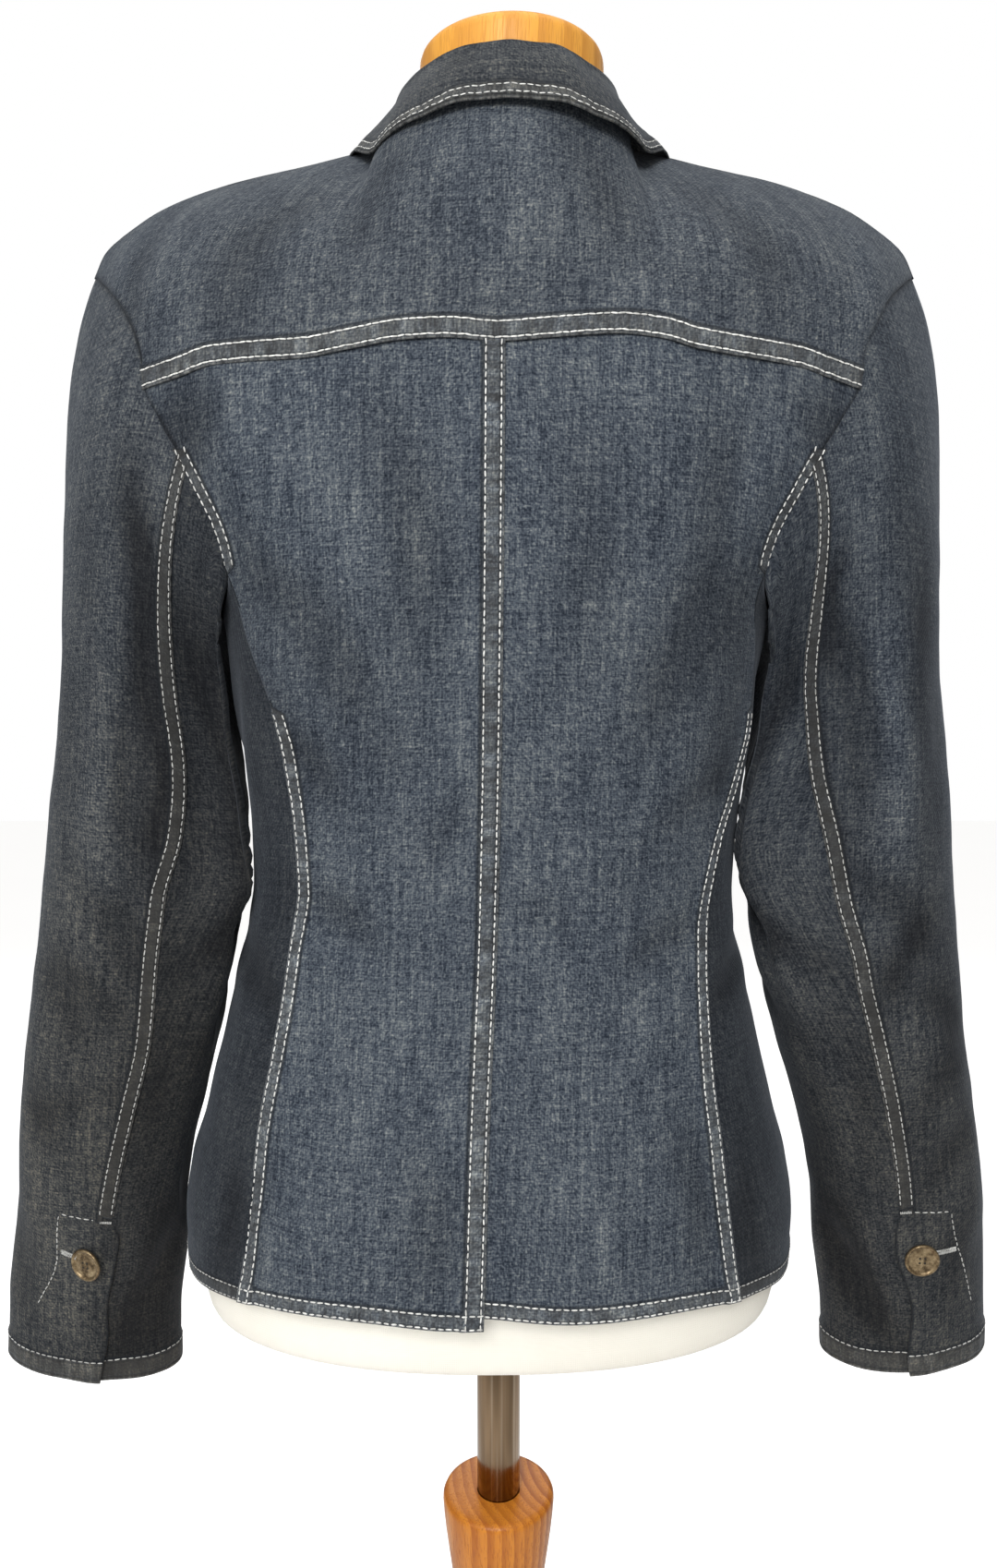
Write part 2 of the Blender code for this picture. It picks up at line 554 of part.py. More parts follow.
def front_layers(side):
    """From the front edge and the roll line to the side-front seam, the armhole and the shoulder seam."""
    armhole_turns = (SIDE_TURNS[-1], 222, 245, CHEST_EDGE)
    places = [(level, None, follow(SIDE_FRONT, level)[0]) for level in SEAM_LEVELS[:-1]]
    places += [(follow(ARMHOLE, turn)[1], turn, follow(ARMHOLE, turn)[0]) for turn in armhole_turns]
    rows = []
    for level, turn, outer in places:
        inner = front_angle(side, follow(FRONT_EDGE, level)[0], level)
        row = []
        for angle in np.linspace(inner, side * outer, FRONT_COLUMNS + 1):
            height = hem_height(angle) if level == SEAM_LEVELS[0] else level
            point, inward = on_torso(angle, height)
            row.append((point + inward / WALL * lap_depth(side, point), inward))
        if turn:
            row[-1] = (row[-1][0], armhole_mitre(side, turn))
        rows.append(row)
    shares = np.linspace(0.0, 1.0, FRONT_COLUMNS + 1)
    for level, turn in zip(LOFT_LEVELS[1:], FRONT_LOFT_TURNS[1:]):
        row = []
        for share in shares:
            inward = -WALL * loft_normal(front_loft_point, side, share, level)
            if level == 1.0:
                inward = shoulder_mitre(side, share)
            row.append((front_loft_point(side, share, level), inward))
        row[-1] = (row[-1][0], armhole_mitre(side, turn))
        rows.append(row)
    return layers(rows)


def lap_depth(side, point):
    """How far the left front is set in, where the right front laps over it."""
    if side < 0:
        return 0.0
    across = np.clip((0.055 - point[0]) / 0.025, 0.0, 1.0)
    upwards = np.clip((1.27 - point[2]) / 0.04, 0.0, 1.0)
    return (WALL + 2 * LAYER_GAP) * across * upwards


# ---------------------------------------------------------------- what lies on the fronts, and the collar
def raised(point, normal, lift):
    """A place on a layer that lies lift above the surface, with its inward step."""
    return point + normal * (WALL + lift), -WALL * normal


def lapel_layers(side):
    """The turned-out facing, on the front from the roll line outwards."""
    start = LAPEL_START[side]
    loft_height = shoulder_point(side, NECK_SHARE)[2] - CHEST_HEIGHT
    rows = []
    for share in np.linspace(0.0, 1.0, LAPEL_ROWS + 1):
        climbed = start + share * (CHEST_HEIGHT - start + LAPEL_TOP * loft_height)
        row = []
        for across in np.linspace(0.0, follow(LAPEL, share)[0], LAPEL_COLUMNS + 1):
            if climbed <= CHEST_HEIGHT:
                angle = front_angle(side, follow(FRONT_EDGE, climbed)[0] + across, climbed)
                point, normal = torso_point(angle, climbed), torso_normal(angle, climbed)
            else:
                level = (climbed - CHEST_HEIGHT) / loft_height
                span = front_loft_point(side, 1.0, level) - front_loft_point(side, 0.0, level)
                place = across / np.linalg.norm(span)
                point = front_loft_point(side, place, level)
                normal = loft_normal(front_loft_point, side, place, level)
            row.append(raised(point, normal, 2 * LAYER_GAP))
        rows.append(row)
    return layers(rows)


def flap_layers(side):
    """A pocket flap on the front, standing off the cloth towards its lower rear corner."""
    rows = []
    for low in np.linspace(0.0, 1.0, FLAP_ROWS + 1):
        height = FLAP_HEIGHTS[1] - low * (FLAP_HEIGHTS[1] - FLAP_HEIGHTS[0])
        row = []
        for share in np.linspace(0.0, 1.0, FLAP_COLUMNS + 1):
            angle = side * (FLAP_ANGLES[0] + share * (FLAP_ANGLES[1] - FLAP_ANGLES[0]))
            lift = 2 * LAYER_GAP + FLAP_STAND_OFF * low * (1.0 - share) ** 2
            row.append(raised(torso_point(angle, height), torso_normal(angle, height), lift))
        rows.append(row)
    return layers(rows)


def collar_layers():
    """Stand, fold and fall, from the right notch round the neck to the left notch."""
    rows = []
    for share in np.linspace(-1.0, 1.0, 2 * COLLAR_STATIONS - 1):
        side = -1.0 if share < 0 else 1.0
        base, fold, edge = follow(COLLAR, abs(share)).reshape(3, 3) * np.array((side, 1, 1))
        out = unit((edge - base) * np.array((1, 1, 0)))
        drop = np.array((0, 0, FOLD_RADIUS))
        inside = fold - out * FOLD_RADIUS - drop
        outside = fold + out * FOLD_RADIUS - drop
        rows.append((
            base, (base + inside) / 2, inside,
            fold - out * FOLD_RADIUS * 0.5 - drop * 0.25, fold + out * FOLD_RADIUS * 0.5 - drop * 0.25,
            outside, (outside + edge) / 2 + out * COLLAR_BULGE, edge,
        ))
    points = np.array(rows) + np.array((COLLAR_CENTRE_X, 0.0, 0.0))
    normals = np.cross(np.gradient(points, axis=0), np.gradient(points, axis=1))
    normals /= np.linalg.norm(normals, axis=2, keepdims=True)
    return points, normals * WALL * -np.sign(normals[COLLAR_STATIONS - 1, -2, 1])


# ---------------------------------------------------------------- from sheets to walls
def drawn_in(sheet):
    """The sheet with its four edges moved in by half a seam gap."""
    trimmed = sheet.copy()
    for edge, inner in ((0, 1), (-1, -2)):
        step = sheet[inner] - sheet[edge]
        trimmed[edge] += step / np.linalg.norm(step, axis=1, keepdims=True) * SEAM_GAP / 2
        step = sheet[:, inner] - sheet[:, edge]
        trimmed[:, edge] += step / np.linalg.norm(step, axis=1, keepdims=True) * SEAM_GAP / 2
    return trimmed


def material(kind):
    name, colour, roughness, metallic = kind
    made = bpy.data.materials.get(name)
    if made is None:
        made = bpy.data.materials.new(name)
        made.use_nodes = True
        shader = made.node_tree.nodes["Principled BSDF"]
        shader.inputs["Base Color"].default_value = colour
        shader.inputs["Roughness"].default_value = roughness
        shader.inputs["Metallic"].default_value = metallic
    return made


def finish(name, bm, kind, smooth_angle=40.0):
    bmesh.ops.recalc_face_normals(bm, faces=bm.faces)
    mesh = bpy.data.meshes.new(name)
    bm.to_mesh(mesh)
    bm.free()
    mesh.shade_smooth()
    mesh.set_sharp_from_angle(angle=np.radians(smooth_angle))
    mesh.materials.append(material(kind))
    made = bpy.data.objects.new(name, mesh)
    bpy.context.scene.collection.objects.link(made)
    return made


def wall(name, sheet_and_inward):
    """A closed denim wall: the sheet's points are its outer face, and inward leads to its inner face."""
    sheet, inward = sheet_and_inward
    sheet = drawn_in(sheet)
    rows, columns = sheet.shape[:2]
    bm = bmesh.new()
    row_of = bm.verts.layers.int.new("row")
    column_of = bm.verts.layers.int.new("column")
    grid = bmesh.ops.create_grid(bm, x_segments=columns - 1, y_segments=rows - 1, size=1.0)["verts"]
    for vert in grid:
        column = round((vert.co.x + 1) / 2 * (columns - 1))
        row = round((vert.co.y + 1) / 2 * (rows - 1))
        vert[row_of], vert[column_of] = row, column
        vert.co = sheet[row, column]
    doubled = bmesh.ops.extrude_face_region(bm, geom=bm.faces[:])["geom"]
    for vert in doubled:
        if isinstance(vert, bmesh.types.BMVert):
            row, column = vert[row_of], vert[column_of]
            vert.co = sheet[row, column] + inward[row, column]
    return finish(name, bm, DENIM)


# ---------------------------------------------------------------- turned and round pieces
def turned(name, profile, kind, centre=(0.0, 0.0), sides=32):
    """A solid turned about an upright axis from (radius, height) points; its ends are closed."""
    bm = bmesh.new()
    points = [(0.0, profile[0][1])] + list(profile) + [(0.0, profile[-1][1])]
    verts = [bm.verts.new((radius, 0.0, height)) for radius, height in points]
    edges = [bm.edges.new(pair) for pair in zip(verts, verts[1:])]
    bmesh.ops.spin(
        bm, geom=verts + edges, cent=(0, 0, 0), axis=(0, 0, 1), angle=2 * np.pi, steps=sides, use_merge=True,
    )
    bmesh.ops.remove_doubles(bm, verts=bm.verts, dist=0.00001)
    bmesh.ops.translate(bm, verts=bm.verts, vec=(centre[0], centre[1], 0.0))
    return finish(name, bm, kind)


def ring_solid(name, rings, kind, smooth_angle):
    """A closed solid through equal rings of points, capped at both ends."""
    bm = bmesh.new()
    loops = [[bm.verts.new(point) for point in ring] for ring in rings]
    sides = len(loops[0])
    for lower, upper in zip(loops, loops[1:]):
        for k in range(sides):
            after = (k + 1) % sides
            bm.faces.new((lower[k], lower[after], upper[after], upper[k]))
    bm.faces.new(loops[0])
    bm.faces.new(loops[-1])
    return finish(name, bm, kind, smooth_angle)


def form_body():
    rings = []
    for height, centre_x, half_width, back_depth, back_round, front_depth, front_round in FORM:
        ring = []
        for k in range(FORM_SIDES):
            angle = 2 * np.pi * k / FORM_SIDES
            behind = np.sin(angle) >= 0
            depth, roundness = (back_depth, back_round) if behind else (front_depth, front_round)
            ring.append((
                centre_x + half_width * signed_power(np.cos(angle), 2 / roundness),
                depth * signed_power(np.sin(angle), 2 / roundness),
                height,
            ))
        rings.append(ring)
    return ring_solid("form_body", rings, JERSEY, 60.0)


def button(name, centre, facing, lift):
    """A turned button with a raised rim, its back face a little away from the cloth."""
    profile = (
        (BUTTON_RADIUS * 0.86, 0.0),
        (BUTTON_RADIUS, BUTTON_THICKNESS * 0.35),
        (BUTTON_RADIUS, BUTTON_THICKNESS * 0.80),
        (BUTTON_RADIUS * 0.90, BUTTON_THICKNESS),
        (BUTTON_RADIUS * 0.76, BUTTON_THICKNESS * 0.95),
        (BUTTON_RADIUS * 0.70, BUTTON_THICKNESS * 0.70),
    )
    made = turned(name, profile, BRASS, sides=20)
    made.location = Vector(centre) + Vector(facing) * lift
    made.rotation_mode = "QUATERNION"
    made.rotation_quaternion = Vector(facing).to_track_quat("Z", "Y")
    return made


def cuff_button(name, side, height, turn):
    point = sleeve_ring(side, height, turn)
    along = sleeve_ring(side, height, turn + 2) - sleeve_ring(side, height, turn - 2)
    up = sleeve_ring(side, height + 0.004, turn) - sleeve_ring(side, height - 0.004, turn)
    return button(name, point, side * unit(np.cross(along, up)), SEAM_GAP)


def main():
    for old in list(bpy.data.objects):
        bpy.data.objects.remove(old)

    wall("back_yoke", yoke_layers())
    for side, word in ((1, "left"), (-1, "right")):
        wall(f"back_{word}", back_layers(side))
        wall(f"side_{word}", side_layers(side))
        wall(f"front_{word}", front_layers(side))
        wall(f"upper_sleeve_{word}", sleeve_layers(side, UPPER_TURNS))
        wall(f"under_sleeve_{word}", sleeve_layers(side, UNDER_TURNS))
        wall(f"lapel_{word}", lapel_layers(side))
        wall(f"pocket_flap_{word}", flap_layers(side))
        cuff_button(f"cuff_button_{word}", side, *CUFF_BUTTON_PLACES[side])
    wall("collar", collar_layers())
    for word, height in FRONT_BUTTON_HEIGHTS.items():
        angle = front_angle(-1, 0.0, height)
        place, facing = torso_point(angle, height), torso_normal(angle, height)
        button(f"front_button_{word}", place, facing, FRONT_BUTTON_LIFT[word])

    form_body()
    turned("neck_cap", NECK_CAP, WOOD, NECK_CAP_CENTRE, 40)
    turned("pole", POLE, CHROME)
    turned("stand_post", POST + POST_SOCKET, WOOD)
    turned("stand_base", BASE, WOOD, sides=48)


if __name__ == "__main__":
    main()
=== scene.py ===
"""A denim blazer on a limbless dress form and its wooden stand: cloth, stitches, buttons and finishes."""

import bmesh
import bpy
import numpy as np
from bpy.props import FloatProperty, FloatVectorProperty, IntProperty
from mathutils import Matrix, Vector


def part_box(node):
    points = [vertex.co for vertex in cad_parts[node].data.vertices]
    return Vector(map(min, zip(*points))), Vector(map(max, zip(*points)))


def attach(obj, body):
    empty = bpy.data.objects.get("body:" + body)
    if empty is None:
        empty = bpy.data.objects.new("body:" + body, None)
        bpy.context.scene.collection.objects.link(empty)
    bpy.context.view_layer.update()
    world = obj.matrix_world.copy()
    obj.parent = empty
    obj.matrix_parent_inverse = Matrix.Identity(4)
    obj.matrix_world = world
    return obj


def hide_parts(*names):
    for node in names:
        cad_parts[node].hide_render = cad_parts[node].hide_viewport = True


bl_info = {
    "name": "Denim blazer on a dress form",
    "version": (1, 0, 0),
    "blender": (4, 5, 0),
    "location": "3D View > Sidebar > Blazer",
    "description": "Builds a tailored denim blazer, its dress form and its stand",
    "category": "Object",
}

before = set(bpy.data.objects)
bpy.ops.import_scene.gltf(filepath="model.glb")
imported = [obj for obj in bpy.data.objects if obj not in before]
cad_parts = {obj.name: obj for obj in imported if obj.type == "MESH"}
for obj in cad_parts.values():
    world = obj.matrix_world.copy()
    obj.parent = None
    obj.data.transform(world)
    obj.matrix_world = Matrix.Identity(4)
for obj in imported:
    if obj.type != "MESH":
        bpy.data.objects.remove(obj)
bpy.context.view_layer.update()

SIDES = ((1, "left"), (-1, "right"))    # the wearer's own, and which way x runs there


# ---------------------------------------------------------------- sizes of the cut, in metres and degrees
def table(units, *rows):
    """Rows of numbers written in handy units, as metres, degrees and shares."""
    return np.array(rows, float) / units


MM = 1000                   # a column in millimetres
PERCENT = 100
RING_UNITS = (MM,) * 5 + (1,)
FOLD_UNITS = (PERCENT,) * 4 + (MM, MM)
DARK_UNITS = (PERCENT,) * 4 + (MM, 1)

YOKE_EDGE = 76              # turns and angles at which the yoke and the chest end
YOKE_END_ANGLE = 51.5
YOKE_END_HEIGHT = 1.3225
YOKE_CENTRE_HEIGHT = 1.3295
CHEST_EDGE = 270
CHEST_END_ANGLE = 130.0
CHEST_HEIGHT = 1.300
JUNCTION_TURNS = (156, 204)
JUNCTION_HEIGHT = 1.226
ARMHOLE_ROWS = (1.2262, 1.2860)     # the back's rows of stitches go on up the armhole between these
SEAM_TURN_HEIGHT = 1.160    # the side-back seam starts to bend towards the armhole here
LOFT_LEVELS = np.array((0.0, 0.27, 0.50, 0.70, 0.86, 1.0))
NECK_CAP_CENTRE = (-0.007, 0.000)
CUFF_BUTTONS = {1: (0.854, 96.0 * 124 / 111), -1: (0.857, 89.0 * 124 / 98)}
CUFF_BUTTON_TILT = {1: (0.42, 0.0, 0.10), -1: (0.05, 0.0, 0.06)}
BUTTONHOLES = {1: (0.017, 0.027, 0.0048), -1: (0.0135, 0.0285, 0.0016)}     # start, end and rise on the cuff
FRONT_BUTTON_HEIGHTS = {"top": 1.165, "middle": 1.085, "bottom": 1.005}
FRONT_BUTTON_LIFT = {"top": 0.0006, "middle": 0.0013, "bottom": 0.0013}
COLLAR_BULGE = 0.0025       # how far the collar's fall swells between its fold and its edge
LOWEST_ROW = 0.858          # nominal height of a panel's lowest row, before it follows the hem
HEM_TOP = 0.870             # the close rows of the hem end here
HEM_FADE = 0.905            # rows above here don't follow the hem
HEM_ROWS = table(MM, 0.0, 0.5, 1.0, 2.2, 4.0, 6.0, 7.2, 8.5)
HEAD_ROWS = 48              # rows of a sleeve's head
YOKE_HALF_WIDTH = 0.168
WAVE_REACH = 0.035          # how far from the yoke's seam the cloth goes up and down with it
HANG_TOP, HANG_FADE = 0.940, 0.080      # the back's lower edge hangs out of line below here
FRONT_OVERLAP = 0.0032      # how far the front on the wearer's left lies in under the other

# ---------------------------------------------------------------- tables, one row per ring or section
# height, centre_x, half_width, widest_y, back_depth, front_depth
TORSO = table(MM,
    (845, 5.5, 171.5, -20, 136, 103), (875, 5.5, 173.5, -20, 134, 103), (903, 5.5, 169.5, -19, 129, 101),
    (930, 5, 162.5, -18, 123, 98), (957, 5, 156.5, -16, 116, 95), (984, 4.5, 150, -15, 109, 91),
    (1011, 4.5, 144.5, -13, 103, 88), (1065, 3.5, 134.5, -10, 97, 87), (1100, 3, 136, -8, 97, 91),
    (1155, 2.5, 142.5, -4, 99, 104), (1205, 1.5, 146.5, 0, 101, 124), (1236, 1, 160, 0, 102, 127),
    (1270, 0, 183, 0, 102, 120), (1300, -1, 203, 0, 101, 110), (1322.5, -1.5, 214.5, 0, 100.5, 102),
    (1340, -2, 219, 0, 100, 95))
BACK_ROUND = 2.3            # superellipse power of the back half of a ring
FRONT_ROUND = 2.1

# share of the way from the centre to the shoulder tip, half_x, height
SHOULDER = table((1, MM, MM),
    (0.32, 66, 1455.5), (0.4, 85, 1452), (0.49, 105.5, 1447.2), (0.66, 146, 1438), (0.81, 180, 1426),
    (0.9, 200, 1414), (0.96, 214, 1402), (1, 220, 1390))
SHOULDER_CENTRE_X = -0.003
NECK_SHARE = 0.32
NECK_BACK_DEPTH = 0.071
NECK_BACK_HEIGHT = 1.4520

# turn round the armhole, angle round the torso, height; turn 0 is the shoulder tip, 180 the underarm
ARMHOLE = table((1, 1, MM),
    (76, 51.5, 1322.5), (92, 51, 1306), (108, 51, 1292), (124, 51.5, 1278), (140, 52.5, 1256), (156, 58, 1226),
    (168, 73, 1210.5), (180, 90, 1205), (192, 107, 1210.5), (204, 122, 1226), (222, 129, 1250), (245, 130, 1276),
    (270, 130, 1300))
BACK_LOFT_TURNS = (76, 60, 45, 30, 15, 0)
FRONT_LOFT_TURNS = (270, 292, 312, 330, 345, 360)

# height, x of the centre-back seam
CENTRE_BACK = table(MM,
    (850, 11.3), (950, 8.7), (1050, 4.7), (1150, 2.6), (1260, 1.5), (1340, 1))
# height, distance of the side-back seam from x = 0, on the wearer's left and right
SIDE_BACK = {
    1: table(MM,
        (850, 131), (945, 121), (989, 113), (1037, 105), (1075, 100), (1099, 101), (1157, 111), (1226, 136)),
    -1: table(MM,
        (850, 121.5), (926, 114), (976, 108), (1025, 106), (1059, 108), (1088, 113.5), (1128, 127), (1153, 131),
        (1226, 134)),
}
# height, angle round the torso of the side-front seam
SIDE_FRONT = table((MM, 1),
    (850, 122), (1060, 126), (1226, 122))
# height, how far the front edge or the roll line lies on its own side of the centre
FRONT_EDGE = table(MM,
    (840, -18), (1150, -18), (1185, -17), (1215, 0), (1260, 22), (1300, 38))
# angle round the torso, height of the hem
HEM = table((1, MM),
    (0, 867), (25, 866), (50, 859), (75, 851), (100, 850), (180, 848))

# height, centre_x, centre_y, half_width, half_depth, angle of the back seam, on both sides
SLEEVE = {
    1: table(RING_UNITS,
        (778, 239.2, -10, 50, 28, 104), (815, 237.2, -8, 49.5, 30, 104.5), (847, 233, -6, 49.2, 33, 111),
        (876, 229, -3, 48.7, 36, 109), (910, 223.5, 0, 49.8, 39, 111), (945, 217, 2, 51.5, 42, 114),
        (985, 208.8, 4, 53.5, 44, 116), (1025, 203.3, 4, 52.7, 47, 116), (1062, 199, 3, 51.2, 50, 118),
        (1096, 196.7, 1, 50, 53, 127), (1130, 195.3, -1, 46.8, 56, 131), (1165, 194.5, -2, 44.5, 58, 128)),
    -1: table(RING_UNITS,
        (785, 239.5, -10, 47, 32, 94), (815, 237.5, -8, 47, 33, 96), (847, 234.5, -6, 48, 34, 98),
        (876, 231, -3, 48.7, 36, 102), (910, 224.5, 0, 48.2, 39, 101), (945, 217, 2, 49.8, 42, 101),
        (985, 208, 4, 52.2, 44, 102), (1025, 200, 4, 54.5, 47, 104), (1062, 197.5, 3, 53, 50, 113),
        (1096, 196.8, 1, 51.2, 53, 121), (1130, 196.6, -1, 48.2, 56, 132), (1165, 196.5, -2, 45, 58, 140)),
}
SLEEVE_TILT = 0.09          # rise of a sleeve ring per metre outwards
SLEEVE_CENTRE_X = 0.205
BACK_SEAM = 124
FRONT_SEAM = 245
ELBOW_HEIGHT = 1.124
ELBOW_ABOVE, ELBOW_BELOW = 0.078, 0.106     # how far above and below it a sleeve still leans in
WALL_LEAN = {1: 0.0210, -1: 0.0260}         # how far its inner rear wall leans in, and the fold beside the seam
FOLD_LEAN = 0.0340
SLEEVE_CLEARANCE = 0.0032   # between the body's own line and a sleeve that leans in on it

# share of the way from the centre back to the notch,
# base x y z, fold x y z, edge x y z of the collar's section
COLLAR = table((1,) + (MM,) * 9,
    (0, 0, 69, 1453, 0, 66, 1475.5, 0, 80, 1442.5), (0.17, 22.5, 65.5, 1454, 20, 62, 1475.5, 24, 78.5, 1441.5),
    (0.34, 43, 50, 1456, 39, 46, 1475, 44, 71, 1438), (0.48, 57, 27, 1458, 53, 25, 1474.5, 64, 48.5, 1439),
    (0.6, 64, 0, 1459, 58, -1, 1474.5, 84, 5, 1456.8), (0.74, 59, -25, 1449, 57, -29, 1462, 92.6, -27, 1442),
    (0.88, 54, -48, 1426, 54, -54, 1437, 95, -50, 1417.5), (1, 50, -66, 1400, 52, -74, 1408, 93, -69, 1395))
COLLAR_CENTRE_X = -0.0055
FOLD_RADIUS = 0.0038

# share of the way up the roll line, width of the lapel
LAPEL = table((1, MM),
    (0, 4), (0.25, 22), (0.55, 40), (0.85, 56), (1, 60))
LAPEL_START = {1: 1.228, -1: 1.192}
LAPEL_TOP = 0.56            # loft level of the gorge

FLAP_ANGLES = (104.0, 158.0)
FLAP_HEIGHTS = (1.0035, 1.0635)
FLAP_STAND_OFF = 0.0060     # how far its lower rear corner stands away

# height, centre_x, half_width, back_depth, back roundness, front_depth, front roundness of the form
FORM = table((MM, MM, MM, MM, 1, MM, 1),
    (826, 5, 150, 88, 2.3, 95, 2.3), (830, 5, 158, 95, 2.3, 102, 2.3), (840, 5, 161, 98, 2.3, 105, 2.3),
    (875, 5, 161, 99, 2.3, 105, 2.3), (910, 5, 157, 96, 2.3, 103, 2.3), (950, 5, 146, 90, 2.2, 98, 2.2),
    (1000, 4.5, 137, 82, 2.2, 91, 2.2), (1065, 3.5, 126, 77, 2.2, 86, 2.2), (1110, 3, 128, 80, 2.2, 90, 2.2),
    (1160, 2.5, 134.5, 86, 2.2, 100, 2.2), (1205, 1.5, 139, 92, 2.2, 110, 2.2), (1250, 0.5, 145, 93, 2.2, 106, 2.2),
    (1300, -1, 156, 90, 2.2, 92, 2.1), (1340, -2, 164, 83, 2.1, 76, 2), (1370, -2.5, 167, 74, 2, 64, 1.9),
    (1395, -3, 162, 64, 1.8, 53, 1.8), (1415, -3, 144, 55, 1.6, 46, 1.4), (1430, -3.5, 118, 50, 1.45, 44, 1.05),
    (1440, -3.5, 82, 47.5, 1.4, 44, 1.05), (1448, -4.5, 58, 47, 1.7, 45, 1.5), (1456, -6, 48, 46.5, 2, 46.5, 2),
    (1465, -7, 47, 46.5, 2, 46.5, 2))


# ---------------------------------------------------------------- curves through the tables
def follow(rows, place):
    """All of the rows' other columns at one or many places of their first column."""
    keys, values = rows[:, 0], rows[:, 1:]
    place = np.clip(np.asarray(place, float), keys[0], keys[-1])
    row = np.clip(np.searchsorted(keys, place) - 1, 0, len(keys) - 2)
    steps = np.diff(keys)[:, None]
    rises = np.diff(values, axis=0) / steps
    slopes = np.vstack((rises[:1], np.zeros((len(keys) - 2, values.shape[1])), rises[-1:]))
    before, after = rises[:-1], rises[1:]
    same_way = before * after > 0.0
    slopes[1:-1] = np.where(same_way, 2.0 * before * after / np.where(same_way, before + after, 1.0), 0.0)
    step = steps[row]
    t = ((place - keys[row]) / steps[row, 0])[..., None]
    return (
        values[row] * (1 + 2 * t) * (1 - t) ** 2 + slopes[row] * step * t * (1 - t) ** 2
        + values[row + 1] * t * t * (3 - 2 * t) - slopes[row + 1] * step * t * t * (1 - t)
    )


def signed_power(value, power):
    return np.sign(value) * np.abs(value) ** power


def smooth(value):
    value = np.clip(value, 0.0, 1.0)
    return value * value * (3 - 2 * value)


def hump(distance, width):
    """A bell curve that is 1 at distance 0."""
    return np.exp(-(distance / width) ** 2)


def unit(vector):
    return vector / np.maximum(np.linalg.norm(vector, axis=-1, keepdims=True), 1e-12)


def pack(*columns):
    return np.stack(np.broadcast_arrays(*columns), axis=-1)


# ---------------------------------------------------------------- the worn shape of the body
def torso_point(angle, height):
    """The blazer's outer face: angle 0 at the centre back, 90 at the wearer's left side."""
    angle, height = np.broadcast_arrays(np.asarray(angle, float), np.asarray(height, float))
    row = follow(TORSO, height)
    sine, cosine = np.sin(np.radians(angle)), np.cos(np.radians(angle))
    depth = np.where(cosine >= 0, row[..., 3], row[..., 4])
    power = np.where(cosine >= 0, 2 / BACK_ROUND, 2 / FRONT_ROUND)
    return pack(
        row[..., 0] + row[..., 1] * signed_power(sine, power),
        row[..., 2] + depth * signed_power(cosine, power),
        height,
    )


def back_angle(x, height):
    row = follow(TORSO, height)
    share = np.clip((x - row[..., 0]) / row[..., 1], -1.0, 1.0)
    return np.degrees(np.arcsin(signed_power(share, BACK_ROUND / 2)))


def front_angle(side, own_x, height):
    row = follow(TORSO, height)
    share = np.clip((own_x - side * row[..., 0]) / row[..., 1], -1.0, 1.0)
    return side * (180.0 - np.degrees(np.arcsin(signed_power(share, FRONT_ROUND / 2))))


def seam_rise(height):
    return np.clip((height - SEAM_TURN_HEIGHT) / (JUNCTION_HEIGHT - SEAM_TURN_HEIGHT), 0.0, 1.0)


def side_back_angle(side, height):
    angle = np.abs(back_angle(side * follow(SIDE_BACK[side], height)[..., 0], height))
    return angle + (follow(ARMHOLE, JUNCTION_TURNS[0])[0] - angle) * seam_rise(height) ** 2


def hem_height(angle):
    return follow(HEM, np.abs((angle + 180) % 360 - 180))[..., 0]


def shoulder_point(side, share):
    row = follow(SHOULDER, share)
    return pack(SHOULDER_CENTRE_X + side * row[..., 0], 0.0 * row[..., 0], row[..., 1])


def yoke_top(side, share):
    """The back neckline up to NECK_SHARE, and the shoulder seam from there to the tip."""
    quarter = np.pi / 2 * np.clip(share, 0.0, NECK_SHARE) / NECK_SHARE
    neck = shoulder_point(side, NECK_SHARE)
    half_x = abs(neck[0] - SHOULDER_CENTRE_X)
    neckline = pack(
        SHOULDER_CENTRE_X + side * half_x * np.sin(quarter) ** 0.9,
        NECK_BACK_DEPTH * np.maximum(np.cos(quarter), 0.0) ** 0.9,
        NECK_BACK_HEIGHT + (neck[2] - NECK_BACK_HEIGHT) * np.sin(quarter) ** 2,
    )
    return np.where(np.asarray(share)[..., None] >= NECK_SHARE, shoulder_point(side, share), neckline)


def loft(bottom, top, level, lean):
    level, lean = np.broadcast_arrays(level, lean)
    return bottom + (top - bottom) * pack(level ** 1.75, level ** lean, level)


def yoke_point(side, share, level):
    share, level = np.broadcast_arrays(np.asarray(share, float), np.asarray(level, float))
    centre = back_angle(follow(CENTRE_BACK, YOKE_CENTRE_HEIGHT)[0], YOKE_CENTRE_HEIGHT)
    angle = centre + share * (side * YOKE_END_ANGLE - centre)
    drop = (YOKE_CENTRE_HEIGHT - YOKE_END_HEIGHT) * (angle / YOKE_END_ANGLE) ** 2
    lean = 1.6 + 0.6 * np.minimum(share / 0.45, 1.0)
    return loft(torso_point(angle, YOKE_CENTRE_HEIGHT - drop), yoke_top(side, share), level, lean)


def front_loft_point(side, share, level):
    share, level = np.broadcast_arrays(np.asarray(share, float), np.asarray(level, float))
    inner = front_angle(side, follow(FRONT_EDGE, CHEST_HEIGHT)[0], CHEST_HEIGHT)
    angle = inner + share * (side * CHEST_END_ANGLE - inner)
    top = shoulder_point(side, NECK_SHARE + (1 - NECK_SHARE) * share)
    return loft(torso_point(angle, CHEST_HEIGHT), top, level, 2.0 + 0.2 * np.minimum(share / 0.4, 1.0))


